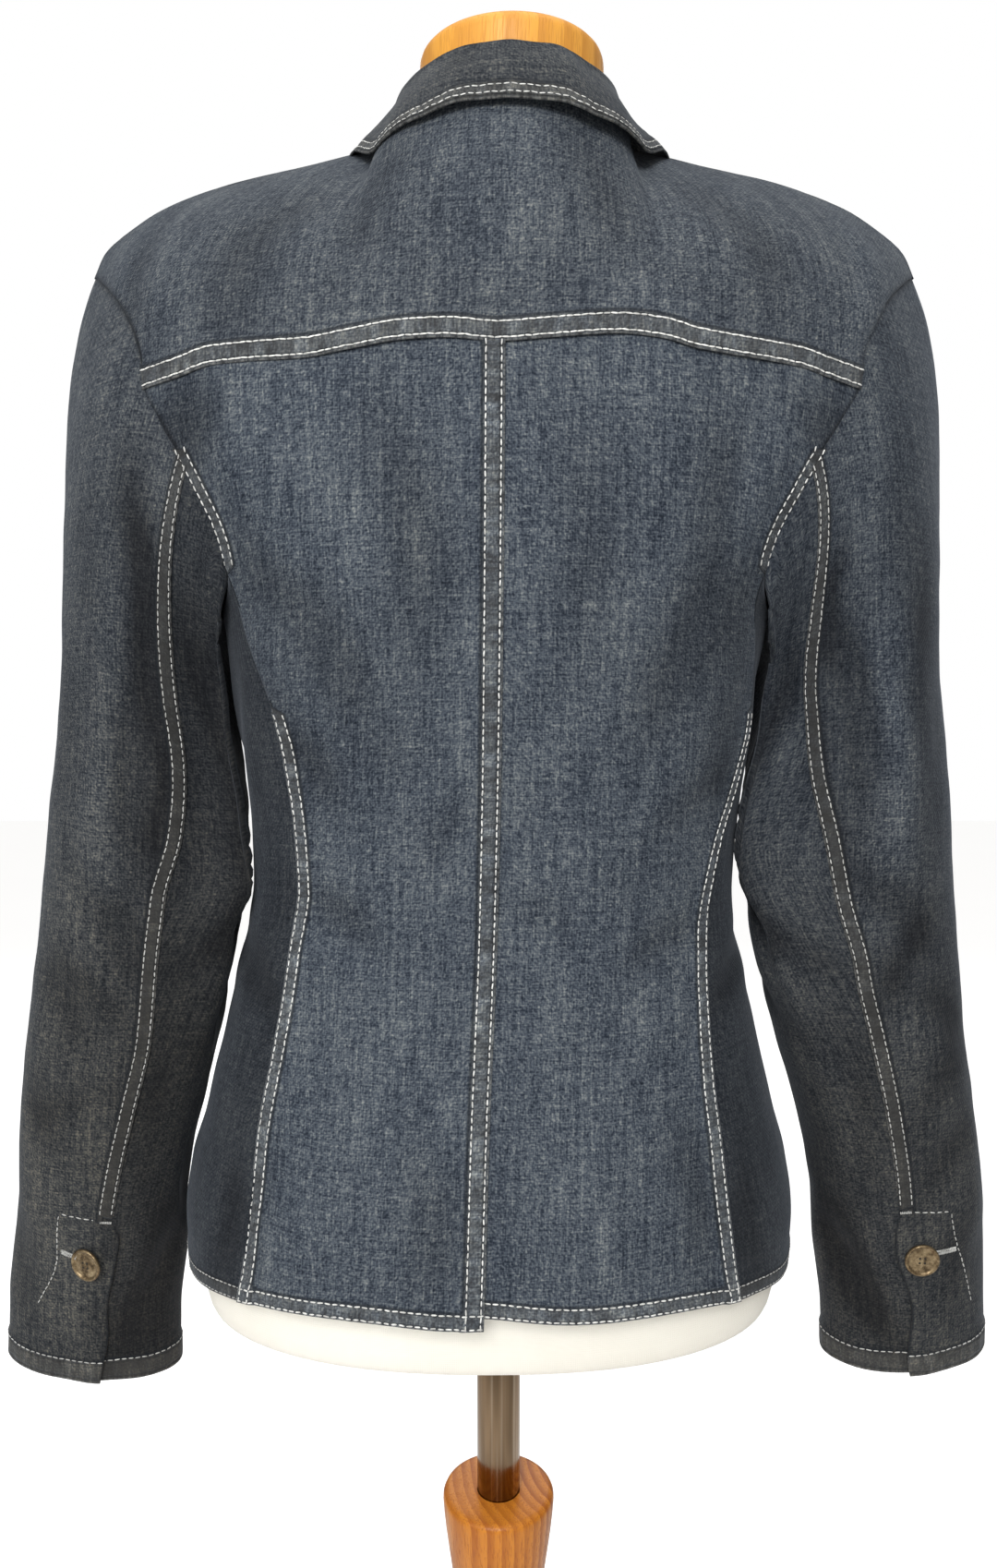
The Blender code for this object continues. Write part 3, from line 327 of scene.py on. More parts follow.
# ---------------------------------------------------------------- armholes and sleeves
def armhole_point(side, turn):
    turn = np.asarray(turn, float) % 360
    back = yoke_point(side, 1.0, np.interp(turn, BACK_LOFT_TURNS[::-1], LOFT_LEVELS[::-1]))
    front = front_loft_point(side, 1.0, np.interp(turn, FRONT_LOFT_TURNS, LOFT_LEVELS))
    row = follow(ARMHOLE, turn)
    body = torso_point(side * row[..., 0], row[..., 1])
    choice = turn[..., None]
    return np.where(choice <= YOKE_EDGE, back, np.where(choice >= CHEST_EDGE, front, body))


def body_side(side, y, height):
    """How far out on its own side the body's outer face stands, level with a place beside it."""
    row = follow(TORSO, height)
    rear = y >= row[..., 2]
    power = np.where(rear, BACK_ROUND, FRONT_ROUND)
    share = np.minimum(np.abs(y - row[..., 2]) / np.where(rear, row[..., 3], row[..., 4]), 1.0)
    return side * row[..., 0] + row[..., 1] * (1.0 - share ** power) ** (1.0 / power)


def sleeve_ring(side, height, turn):
    """A sleeve's outer face. Its inner rear wall leans in towards the body round the elbow."""
    height, turn = np.broadcast_arrays(np.asarray(height, float), np.asarray(turn, float) % 360)
    row = follow(SLEEVE[side], height)
    seam = row[..., 4]
    under = seam + (turn - BACK_SEAM) * (FRONT_SEAM - seam) / (FRONT_SEAM - BACK_SEAM)
    turned = np.where(turn <= BACK_SEAM, turn * seam / BACK_SEAM, np.where(turn <= FRONT_SEAM, under, turn))
    out = row[..., 2] * np.cos(np.radians(turned))
    past = turned - seam
    elbow = hump(height - ELBOW_HEIGHT, np.where(height > ELBOW_HEIGHT, ELBOW_ABOVE, ELBOW_BELOW))
    wall = hump(past - 42.0, 23.0) * WALL_LEAN[side]
    fold = hump(past - 31.0, 14.5) * FOLD_LEAN
    lean = elbow * np.maximum(wall, fold)
    y = row[..., 1] + row[..., 3] * np.sin(np.radians(turned)) + 0.30 * lean
    own_x = row[..., 0] + out
    beside = body_side(side, y, height + SLEEVE_TILT * out) + SLEEVE_CLEARANCE
    beside = beside + 0.0016 * smooth((1.03 - height) / 0.03)
    apart = smooth((1.20 - height) / 0.05)
    least = np.minimum(beside, own_x) + apart * np.maximum(beside - own_x, 0.0)
    leaned = np.maximum(own_x - lean, least)
    return pack(side * leaned, y, height + SLEEVE_TILT * out)


def cap_point(side, turn, step):
    """The sleeve head, between the armhole at step 0 and the first free ring at step 1."""
    turn, step = np.broadcast_arrays(np.asarray(turn, float), np.asarray(step, float))
    top, next_down = SLEEVE[side][-1, 0], SLEEVE[side][-2, 0]
    start, end = armhole_point(side, turn), sleeve_ring(side, top, turn)
    below = sleeve_ring(side, next_down, turn)
    reach = np.linalg.norm(end - start, axis=-1, keepdims=True)
    outwards = 0.35 + 0.10 * np.cos(np.radians(turn))
    leave = unit(pack(side * outwards, 0.0, -1.0)) * reach
    arrive = unit(below - end) * reach
    step = step[..., None]
    return (
        start * (1 + 2 * step) * (1 - step) ** 2 + leave * step * (1 - step) ** 2
        + end * step * step * (3 - 2 * step) - arrive * step * step * (1 - step)
    )


# ---------------------------------------------------------------- panels as sheets of points
def spaced(count, width):
    """Shares from 0 to 1, closer together where seams are sewn along both edges."""
    close = np.array((0.0006, 0.0016, 0.0032, 0.0055, 0.0078, 0.0092, 0.0105, 0.0122)) / width
    shares = np.concatenate((np.linspace(0.0, 1.0, count), close, 1.0 - close))
    shares = np.sort(shares[(shares >= 0.0) & (shares <= 1.0)])
    keep = np.concatenate(((True,), np.diff(shares) > 0.0004 / width))
    keep[-1] = True
    return shares[keep]


def above_hem(angle, level):
    """A panel's height where its lowest rows follow the hem."""
    hem = hem_height(angle)
    share = (level - LOWEST_ROW) / (HEM_FADE - LOWEST_ROW)
    return np.where(level < HEM_FADE, hem + share * (HEM_FADE - hem), level)


def panel_levels(count):
    """Heights of a panel's rows, from the close ones at the hem up to the armhole."""
    return np.concatenate((LOWEST_ROW + HEM_ROWS, np.linspace(HEM_TOP, JUNCTION_HEIGHT, count)))


SEAM_WAVE = table(MM,
    (-180, -6.8), (-167, -6.6), (-155, -5.6), (-143, -3.8), (-119, -3.1), (-92, -1.5), (-76, 1.8), (-58, 3.1),
    (-24, 0.6), (0, -1.1), (24, 0.7), (43, 0.2), (68, -3.1), (90, -5.5), (120, -4.2), (135, -3.6), (154, -6.2),
    (170, -6.8), (180, -6.8))


def waved(points):
    """The yoke's seam pulled up and down along its length, the cloth on both sides going with it."""
    seam = YOKE_CENTRE_HEIGHT - (YOKE_CENTRE_HEIGHT - YOKE_END_HEIGHT) * (points[..., 0] / YOKE_HALF_WIDTH) ** 2
    lift = follow(SEAM_WAVE, points[..., 0])[..., 0] * hump(points[..., 2] - seam, WAVE_REACH)
    points[..., 2] += lift
    return points


def yoke_sheet():
    half = spaced(58, 0.24)
    shares = np.concatenate((-half[::-1], half[1:]))
    levels = spaced(44, 0.135)[:, None]
    right, left = (yoke_point(side, np.abs(shares)[None, :], levels) for side in (-1, 1))
    return np.where((shares < 0)[None, :, None], right, left)


def back_sheet(side):
    shares = spaced(52, 0.16)
    levels = panel_levels(100)
    centre = back_angle(follow(CENTRE_BACK, levels)[:, 0], levels)
    edge = side * side_back_angle(side, levels)
    angles = centre[:, None] + shares[None, :] * (edge - centre)[:, None]
    lower = torso_point(angles, above_hem(angles, levels[:, None] + 0 * angles))
    turns = np.linspace(JUNCTION_TURNS[0], YOKE_EDGE, 34)[1:]
    row = follow(ARMHOLE, turns)
    edge_angle, edge_height = row[:, 0], row[:, 1]
    rise = (edge_height - JUNCTION_HEIGHT) / (YOKE_END_HEIGHT - JUNCTION_HEIGHT)
    centre_height = JUNCTION_HEIGHT + rise * (YOKE_CENTRE_HEIGHT - JUNCTION_HEIGHT)
    centre = back_angle(follow(CENTRE_BACK, centre_height)[:, 0], centre_height)
    drop = (centre_height - edge_height) / edge_angle ** 2
    angles = centre[:, None] + shares[None, :] * (side * edge_angle - centre)[:, None]
    upper = torso_point(angles, centre_height[:, None] - drop[:, None] * angles ** 2)
    return np.concatenate((lower, upper))


def side_sheet(side):
    shares = spaced(30, 0.13)
    turns = JUNCTION_TURNS[0] + shares * (JUNCTION_TURNS[1] - JUNCTION_TURNS[0])
    tops = follow(ARMHOLE, turns)
    levels = panel_levels(92)[:, None]
    rise = seam_rise(levels)
    rear, fore = side_back_angle(side, levels), follow(SIDE_FRONT, levels)[..., 0]
    even_top = tops[0, 0] + shares * (tops[-1, 0] - tops[0, 0])
    angles = side * (rear + shares * (fore - rear) + (tops[:, 0] - even_top) * rise ** 2)
    raised = SEAM_TURN_HEIGHT + rise * (tops[:, 1] - SEAM_TURN_HEIGHT)
    heights = np.where(rise == 0.0, above_hem(angles, levels + 0 * angles), raised)
    return torso_point(angles, heights)


def front_sheet(side):
    shares = spaced(34, 0.15)
    low = panel_levels(70)[:-1]
    turns = np.linspace(JUNCTION_TURNS[1], CHEST_EDGE, 16)
    row = follow(ARMHOLE, turns)
    levels = np.concatenate((low, row[:, 1]))
    outer = np.concatenate((follow(SIDE_FRONT, low)[:, 0], row[:, 0]))
    inner = front_angle(side, follow(FRONT_EDGE, levels)[:, 0], levels)
    angles = inner[:, None] + shares[None, :] * (side * outer - inner)[:, None]
    points = torso_point(angles, above_hem(angles, levels[:, None] + 0 * angles))
    if side > 0:
        across = np.clip((0.055 - points[..., 0]) / 0.025, 0.0, 1.0)
        upwards = np.clip((1.27 - points[..., 2]) / 0.04, 0.0, 1.0)
        points[..., 1] += FRONT_OVERLAP * across * upwards
    upper = front_loft_point(side, shares[None, :], np.linspace(0.0, 1.0, 34)[1:, None])
    return np.concatenate((points, upper))


def sleeve_sheet(side, first, last, count):
    """One sleeve panel between two turns, from the armhole down to the cuff."""
    turns = first + spaced(count, 0.16) * (last - first)
    steps = np.linspace(0.0, 1.0, HEAD_ROWS)[:, None]
    head = cap_point(side, turns[None, :], steps)
    top, bottom = SLEEVE[side][-1, 0], SLEEVE[side][0, 0]
    close = table(MM, 13.5, 12.2, 10.5, 8.5, 6.0, 3.0, 1.0, 0.0)
    heights = np.concatenate((np.linspace(top, bottom + 0.016, 104)[1:], bottom + close))
    return np.concatenate((head, sleeve_ring(side, heights[:, None], turns[None, :])))


def lapel_sheet(side):
    start = LAPEL_START[side]
    loft_height = shoulder_point(side, NECK_SHARE)[2] - CHEST_HEIGHT
    shares = spaced(48, 0.19)
    climbed = start + shares * (CHEST_HEIGHT - start + LAPEL_TOP * loft_height)
    width = follow(LAPEL, shares)[:, 0]
    across = spaced(16, 0.06)[None, :] * width[:, None]
    low = np.minimum(climbed, CHEST_HEIGHT)[:, None]
    on_body = torso_point(front_angle(side, follow(FRONT_EDGE, low)[..., 0] + across, low), low)
    level = np.maximum((climbed - CHEST_HEIGHT) / loft_height, 0.0)[:, None]
    span = front_loft_point(side, 1.0, level[:, 0]) - front_loft_point(side, 0.0, level[:, 0])
    place = across / np.linalg.norm(span, axis=-1)[:, None]
    on_loft = front_loft_point(side, place, level)
    return np.where((climbed <= CHEST_HEIGHT)[:, None, None], on_body, on_loft)


def flap_sheet(side):
    shares = spaced(26, 0.09)[None, :]
    heights = FLAP_HEIGHTS[1] - spaced(18, 0.06)[:, None] * (FLAP_HEIGHTS[1] - FLAP_HEIGHTS[0])
    angles = side * (FLAP_ANGLES[0] + shares * (FLAP_ANGLES[1] - FLAP_ANGLES[0]))
    return torso_point(angles, heights)


def through(sections, count):
    """Smooth curves through sections, point for point, at count places along them."""
    places = np.linspace(0.0, len(sections) - 1, len(sections))
    flat = sections.reshape(len(sections), -1)
    wanted = np.linspace(0.0, len(sections) - 1, count)
    return follow(np.column_stack((places, flat)), wanted).reshape((count,) + sections.shape[1:])


def collar_sheet():
    """Stand, fold and fall, from the right notch round the neck to the left notch."""
    rows = []
    for share in np.linspace(-1.0, 1.0, 25):
        side = -1.0 if share < 0 else 1.0
        base, fold, edge = follow(COLLAR, abs(share)).reshape(3, 3) * np.array((side, 1, 1))
        out = unit((edge - base) * np.array((1, 1, 0)))
        drop = np.array((0, 0, FOLD_RADIUS))
        inside, outside = fold - out * FOLD_RADIUS - drop, fold + out * FOLD_RADIUS - drop
        rows.append((
            base, (base + inside) / 2, inside, fold - out * FOLD_RADIUS * 0.5 - drop * 0.25,
            fold + out * FOLD_RADIUS * 0.5 - drop * 0.25, outside,
            (outside + edge) / 2 + out * COLLAR_BULGE, edge,
        ))
    points = through(np.array(rows), 118)
    points = through(points.swapaxes(0, 1), 34).swapaxes(0, 1)
    return points + np.array((COLLAR_CENTRE_X, 0.0, 0.0))


# ---------------------------------------------------------------- sewing: seams, creases and lie of the cloth
EDGES = {"near_row": (0, False), "far_row": (0, True), "near_column": (1, False), "far_column": (1, True)}


def lengths(points, axis=0):
    """Distance walked along one direction of a sheet or path, from its near edge."""
    steps = np.linalg.norm(np.diff(points, axis=axis), axis=-1)
    start = np.zeros_like(np.take(steps, [0], axis=axis))
    return np.concatenate((start, np.cumsum(steps, axis=axis)), axis=axis)


def laid_flat(points, grain, from_far=False):
    """Places on the cut cloth: across the grain from one column, and up the grain."""
    tangent = np.gradient(points, axis=1) * np.array((1.0, 1.0, 0.0))
    across = lengths(points[..., :2], 1)
    across = across - across[:, [grain]]
    tangent = unit(tangent + 1e-9)
    rise = np.diff(points, axis=0)
    facing = (tangent[1:] + tangent[:-1]) / 2
    rise = rise - np.sum(rise * facing, axis=-1, keepdims=True) * facing
    upward = np.linalg.norm(rise, axis=-1) * np.sign(rise[..., 2] + 1e-12)
    up = np.concatenate((np.zeros((1, points.shape[1])), np.cumsum(upward, axis=0)))
    start = -1 if from_far else 0
    return pack(across, up - up[[start]] + points[[start], :, 2])


def from_edge(points, edge):
    axis, far = EDGES[edge]
    walked = lengths(points, axis)
    return np.take(walked, [-1], axis=axis) - walked if far else walked


def along_edge(points, edge):
    axis, far = EDGES[edge]
    line = np.take(points, [-1 if far else 0], axis=axis)
    return lengths(line, 1 - axis) + np.zeros(points.shape[:2])


def facing_of(points):
    return np.cross(np.gradient(points, axis=1), np.gradient(points, axis=0))


def outward(points, centre):
    """Normals of a sheet, pointing away from a line or point inside the body or sleeve."""
    normals = unit(facing_of(points))
    away = np.sum(normals * (points - centre))
    return normals if away > 0 else -normals


def wrinkle(flat, creases):
    """Soft troughs and ridges between pairs of places given as shares across and along a sheet."""
    height = np.zeros(flat.shape[:2])
    rows, columns = height.shape
    for across_a, along_a, across_b, along_b, width, depth in creases:
        a = flat[round(along_a * (rows - 1)), round(across_a * (columns - 1))]
        b = flat[round(along_b * (rows - 1)), round(across_b * (columns - 1))]
        span = b - a
        reach = max(np.linalg.norm(span), 1e-6)
        t = ((flat - a) @ span) / reach ** 2
        nearest = a + np.clip(t, 0.0, 1.0)[..., None] * span
        bend = 0.12 * reach * np.sin(np.pi * np.clip(t, 0.0, 1.0)) ** 2 * np.sign(across_b - across_a + 1e-3)
        side = np.array((-span[1], span[0])) / reach
        distance = np.linalg.norm(flat - nearest - bend[..., None] * side * 0.5, axis=-1)
        fade = 0.25 + 0.75 * smooth(2.2 * np.minimum(np.clip(t, 0, 1), 1 - np.clip(t, 0, 1)) + 0.1)
        height += depth * hump(distance, width) * fade
    return height


def restless(flat, amount, phase):
    """The slight unevenness that a washed cloth keeps all over."""
    u, v = flat[..., 0], flat[..., 1]
    return amount * (
        np.sin(61 * u + 17 * v + phase) * np.sin(43 * v + 2.1 * phase)
        + 0.6 * np.sin(131 * u - 37 * v + 1.7 * phase) * np.sin(97 * v + 29 * u + phase)
        + 0.35 * np.sin(233 * u + 71 * v + 0.6 * phase) * np.sin(187 * v - 53 * u)
    )


CREASE_DEPTH = 1.5
STITCH_SINK = 0.00012


class Seam:
    """One edge's sewing: rows of stitches, the width of the doubled band and how far it stands up."""

    def __init__(self, edge, lines=(), band=0.0, lift=0.0, reach=0.0, keep=None, colour=True, dull=0.0):
        self.edge = edge
        self.lines = lines
        self.band = band
        self.lift = lift
        self.reach = reach
        self.keep = keep
        self.colour = colour
        self.dull = dull

    def kept(self, points):
        """1 where the sewing is, 0 where it isn't."""
        return np.ones(points.shape[:2]) if self.keep is None else self.keep(points[..., 2]).astype(float)


TWIN = (0.0016, 0.0088)     # a row at the fold and one a felled seam away
CLOSE_TWIN = (0.0014, 0.0075)
CLOSE_FELLED = 0.0088
FELLED = 0.0104
EDGE_ROWS, EDGE_BAND = (0.0030, 0.0066), 0.0086     # of collar, lapels and flaps


class Panel:
    """A sheet of cloth with its place, its lie as flat coordinates, its painted shade and its rows of stitches."""

    def __init__(self, points, centre, seams, creases=(), amount=0.00022, phase=0.0, tone=0.0, shade=0.0,
                 grain=None, from_far=False, head=0, strokes=()):
        points = points.copy()
        for seam in seams:
            if seam.reach:
                self.stretch(points, seam)
        rows, columns = points.shape[:2]
        if grain == "round":
            self.flat = pack(lengths(points, 1), lengths(points, 0)[:, [columns // 2]])
        else:
            self.flat = laid_flat(points, columns // 2 if grain is None else grain, from_far)
        self.flat[:head, :, 0] = self.flat[head, :, 0]
        self.normals = outward(points, centre)
        raised = CREASE_DEPTH * wrinkle(self.flat, creases) + restless(self.flat, amount, phase)
        # Painted shade: darker in the troughs of the folds, lighter on their crests, and darker or lighter along the
        # listed strokes.
        self.shade = shade + np.clip(-raised / 0.0034, -0.35, 0.70) * 0.62 + wrinkle(self.flat, strokes)
        self.lie = self.flat + np.array((0.71, 0.43)) * phase
        self.seam = np.zeros((rows, columns, 2))
        self.seam[..., 0] = 0.05
        for seam in seams:
            away, along = from_edge(points, seam.edge), along_edge(points, seam.edge)
            keep = seam.kept(points)
            raised += seam.lift * smooth((seam.band + 0.003 - away) / 0.003) * keep
            # Painted shade beside a seam: over its band where it has rows of stitches, else in a narrow line at its
            # edge.
            if seam.dull:
                sunk = smooth((seam.band + 0.0008 - away) / 0.001) if seam.lines else hump(away, 0.0028)
                self.shade = self.shade + seam.dull * sunk * keep
            if seam.colour:
                shown = away * FELLED / seam.band if seam.lines and seam.band else away + FELLED
                nearer = (shown < self.seam[..., 0]) & (keep > 0.5)
                self.seam[nearer] = pack(shown, along)[nearer]
            if seam.band and seam.lines:
                ripple = 0.00022 * np.sin(2 * np.pi * along / 0.0093 + 1.3 * np.sin(along * 37))
                raised += ripple * smooth((seam.band - away) / 0.003) * smooth(away / 0.002) * keep
        self.points = points + self.normals * raised[..., None]
        self.seams = seams
        self.tone = np.full((rows, columns), float(tone))

    @staticmethod
    def stretch(points, seam):
        """Carries an edge on past the seam, so that it laps over its neighbour."""
        axis, far = EDGES[seam.edge]
        line = np.moveaxis(points, axis, 0)
        line = line[::-1] if far else line
        line[0] += unit(line[0] - line[2]) * seam.reach

    def rows_of_stitches(self):
        """Every stitch line as places, directions away from the cloth, and directions along."""
        found = []
        for seam in self.seams:
            axis, far = EDGES[seam.edge]
            away = from_edge(self.points, seam.edge)
            keep = seam.kept(self.points)
            lanes = [np.moveaxis(part, axis, -1 if part.ndim == 2 else 1) for part in (away, keep)]
            points, normals = (np.moveaxis(part, axis, 1) for part in (self.points, self.normals))
            order = slice(None, None, -1) if far else slice(None)
            for line in seam.lines:
                path, facing = [], []
                for k in range(points.shape[0]):
                    if lanes[1][k][order][0] >= 0.5:
                        walked = lanes[0][k][order]
                        path.append(at_walked(line, walked, points[k, order]))
                        facing.append(at_walked(line, walked, normals[k, order]))
                if len(path) > 2:
                    found.append((np.array(path), unit(np.array(facing))))
        return found


def object_of(name, bm, material):
    mesh = bpy.data.meshes.new(name)
    bm.to_mesh(mesh)
    bm.free()
    mesh.materials.append(material)
    made = bpy.data.objects.new(name, mesh)
    bpy.context.scene.collection.objects.link(made)
    return made


def piece_of(name, bm, material, slot, *replaced, smooth_angle=None):
    """A finished piece from a bmesh, riding on the one body and standing for its CAD nodes."""
    made = object_of(name, bm, material)
    made.data.shade_smooth()
    if smooth_angle:
        made.data.set_sharp_from_angle(angle=np.radians(smooth_angle))
    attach(made, "root")
    if replaced:
        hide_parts(*replaced)
    return made


def sheet_mesh(points):
    """A grid laid through rows of points, with the row and column of each of its vertices."""
    rows, columns = points.shape[:2]
    bm = bmesh.new()
    bmesh.ops.create_grid(bm, x_segments=columns - 1, y_segments=rows - 1, size=1.0)
    shares = (np.array([vert.co[:2] for vert in bm.verts]) + 1) / 2
    column, row = np.rint(shares * (columns - 1, rows - 1)).astype(int).T
    for vert, place in zip(bm.verts, points[row, column].tolist()):
        vert.co = place
    return bm, row, column


def cloth_piece(name, panel, node, thickness):
    """The panel as a thin wall of cloth, its outer face where the panel's points are."""
    bm, row, column = sheet_mesh(panel.points)
    if np.sum(facing_of(panel.points) * panel.normals) < 0:
        bmesh.ops.reverse_faces(bm, faces=bm.faces)
    made = piece_of(name, bm, denim(), "denim", node)
    mesh = made.data
    corners = np.empty(len(mesh.loops), dtype=np.int64)
    mesh.loops.foreach_get("vertex_index", corners)
    for layer, values in (("cloth", panel.lie), ("seam", panel.seam)):
        places = values[row, column][corners].astype(np.float32)
        mesh.uv_layers.new(name=layer).data.foreach_set("uv", places.ravel())
    # tone is a brown tint; shade is the painted shade.
    for layer, values in (("tone", panel.tone), ("shade", panel.shade)):
        values = np.clip(values[row, column], 0, 1).astype(np.float32)
        mesh.attributes.new(layer, "FLOAT", "POINT").data.foreach_set("value", values)
    wall = made.modifiers.new("cloth wall", "SOLIDIFY")
    wall.thickness, wall.offset, wall.use_even_offset = thickness, -1.0, False
    return made


def at_walked(wanted, walked, values):
    """Three-part values at wanted distances along a path."""
    return np.stack([np.interp(wanted, walked, values[:, k]) for k in range(3)], axis=-1)


def evenly(path, facing, pitch):
    """Places, facings and directions at an even pitch along a path."""
    walked = lengths(path)
    count = max(int(walked[-1] / pitch), 1)
    wanted = (np.arange(count) + 0.5) * walked[-1] / count
    ahead = at_walked(np.minimum(wanted + pitch / 3, walked[-1]), walked, path)
    behind = at_walked(np.maximum(wanted - pitch / 3, 0.0), walked, path)
    return at_walked(wanted, walked, path), unit(at_walked(wanted, walked, facing)), unit(ahead - behind)


def in_order(parts, place):
    """Puts corners or faces in the order of their places, which is the same each time."""
    for rank, part in enumerate(sorted(parts, key=lambda part: [round(share, 6) for share in place(part)])):
        part.index = rank
    parts.sort()


def stitches_piece(name, lines, material, thread, pitch, length):
    """All the stitches of a group of seams, each a short round thread sunk a little into the cloth."""
    bm = bmesh.new()
    bmesh.ops.create_uvsphere(bm, u_segments=6, v_segments=5, radius=0.5)
    in_order(bm.faces, lambda face: face.calc_center_median())
    template = bpy.data.meshes.new("stitch")
    bm.to_mesh(template)
    bm.free()
    shape = np.array([vert.co[:] for vert in template.vertices])[:, [2, 0, 1]]
    shape[:, 0] = np.sign(shape[:, 0]) * np.abs(2 * shape[:, 0]) ** 0.7 / 2
    spots = []
    for number, (path, facing, *across) in enumerate(lines):
        place, up, ahead = evenly(path, facing, pitch)
        ahead = np.cross(up, ahead) if across else ahead
        count = np.arange(len(place))[:, None]
        ahead = unit(ahead + unit(np.cross(up, ahead)) * 0.10 * np.sin(count * 2.4 + number))
        scale = length * (1.0 + 0.08 * np.sin(count * 5.1 + number))
        axes = (ahead * scale, unit(np.cross(up, ahead)) * thread, up * thread * 0.75)
        centres = place + up * (thread * 0.28 - STITCH_SINK)
        spots.append(centres[:, None, :] + sum(axis[:, None, :] * shape[:, k, None] for k, axis in enumerate(axes)))
    places = np.concatenate(spots)
    bm = bmesh.new()
    for _ in places:
        bm.from_mesh(template)
    bpy.data.meshes.remove(template)
    made = piece_of(name, bm, material, "denim")
    made.data.vertices.foreach_set("co", places.astype(np.float32).ravel())
    made.data.update()
    return made


def close_up(bm):
    """Joins a surface's meeting edges, fills its open ends and turns its faces outwards."""
    bmesh.ops.remove_doubles(bm, verts=bm.verts, dist=1e-6)
    bmesh.ops.holes_fill(bm, edges=bm.edges, sides=0)
    bmesh.ops.recalc_face_normals(bm, faces=bm.faces)
    in_order(bm.verts, lambda vert: vert.co)
    in_order(bm.faces, lambda face: face.calc_center_median())


def turned(name, profile, material, slot, *replaced, matrix=None, steps=96, smooth_angle=40.0):
    """A turned piece: a profile of radius and height spun round its axis and closed."""
    bm = bmesh.new()
    verts = [bm.verts.new((radius, 0.0, height)) for radius, height in profile]
    for one, other in zip(verts, verts[1:]):
        bm.edges.new((one, other))
    bmesh.ops.spin(
        bm, geom=bm.verts[:] + bm.edges[:], cent=(0, 0, 0), axis=(0, 0, 1), dvec=(0, 0, 0),
        angle=2 * np.pi, steps=steps, use_merge=True, use_duplicate=False,
    )
    close_up(bm)
    if matrix is not None:
        bmesh.ops.transform(bm, matrix=matrix, verts=bm.verts)
    return piece_of(name, bm, material, slot, *replaced, smooth_angle=smooth_angle)


# ---------------------------------------------------------------- finishes
COLOUR, FLOAT, VECTOR = "NodeSocketColor", "NodeSocketFloat", "NodeSocketVector"


class Nodes:
    """A node tree, with short ways to add the nodes that the finishes are made of."""

    def __init__(self, tree):
        self.tree = tree

    def fill(self, node, inputs):
        """Links or sets sockets of a node."""
        for key, value in inputs.items():
            if isinstance(value, bpy.types.NodeSocket):
                self.tree.links.new(value, node.inputs[key])
            else:
                node.inputs[key].default_value = value

    def put(self, kind, inputs=None, **settings):
        node = self.tree.nodes.new("ShaderNode" + kind)
        for key, value in settings.items():
            setattr(node, key, value)
        self.fill(node, inputs or {})
        return node

    def place(self):
        return self.put("TexCoord").outputs["Object"]

    def split(self, vector):
        return self.put("SeparateXYZ", {"Vector": vector}).outputs

    def noise(self, vector, scale, detail=2.0, roughness=0.5):
        """Noise with a scale for each axis, or one for all three."""
        scale = scale if isinstance(scale, tuple) else (scale, scale, scale)
        scaled = self.put("Mapping", {"Vector": vector, "Scale": scale}).outputs["Vector"]
        return self.put("TexNoise", {
            "Vector": scaled, "Scale": 1.0, "Detail": detail, "Roughness": roughness,
        }).outputs["Fac"]

    def wave(self, vector, scale, direction, distortion=1.0, **inputs):
        return self.put("TexWave", {
            "Vector": vector, "Scale": scale, "Distortion": distortion, "Detail": 1.0, **inputs,
        }, wave_type="BANDS", bands_direction=direction).outputs["Fac"]

    def math(self, operation, a, b=0.0, *c):
        return self.put("Math", dict(enumerate((a, b, *c))), operation=operation).outputs[0]

    def times(self, a, b):
        return self.math("MULTIPLY", a, b)

    def times_plus(self, a, b, c):
        return self.math("MULTIPLY_ADD", a, b, c)

    def between(self, value, low, high, to_low=0.0, to_high=1.0):
        return self.put("MapRange", {
            "Value": value, "From Min": low, "From Max": high, "To Min": to_low, "To Max": to_high,
        }, interpolation_type="SMOOTHSTEP").outputs["Result"]

    def mix(self, share, a, b, blend="MIX"):
        return self.put("Mix", {0: share, 6: a, 7: b}, data_type="RGBA", blend_type=blend).outputs[2]

    def ramp(self, value, *stops):
        node = self.put("ValToRGB", {"Fac": value})
        elements = node.color_ramp.elements
        for end, (place, colour) in ((0, stops[0]), (1, stops[-1])):
            elements[end].position, elements[end].color = place, (*colour, 1.0)
        for place, colour in stops[1:-1]:
            elements.new(place).color = (*colour, 1.0)
        return node.outputs["Color"]


def group(name, *ins):
    """An empty node group that gives out a colour and a height, with its nodes, inputs and outputs."""
    tree = bpy.data.node_groups.new(name, "ShaderNodeTree")
    for label, kind, value in ins:
        socket = tree.interface.new_socket(name=label, in_out="INPUT", socket_type=kind)
        if value is not None:
            socket.default_value = value
    for label, kind in (("Color", COLOUR), ("Height", FLOAT)):
        tree.interface.new_socket(name=label, in_out="OUTPUT", socket_type=kind)
    result = tree.nodes.new("NodeGroupOutput")
    return Nodes(tree), tree.nodes.new("NodeGroupInput").outputs, result


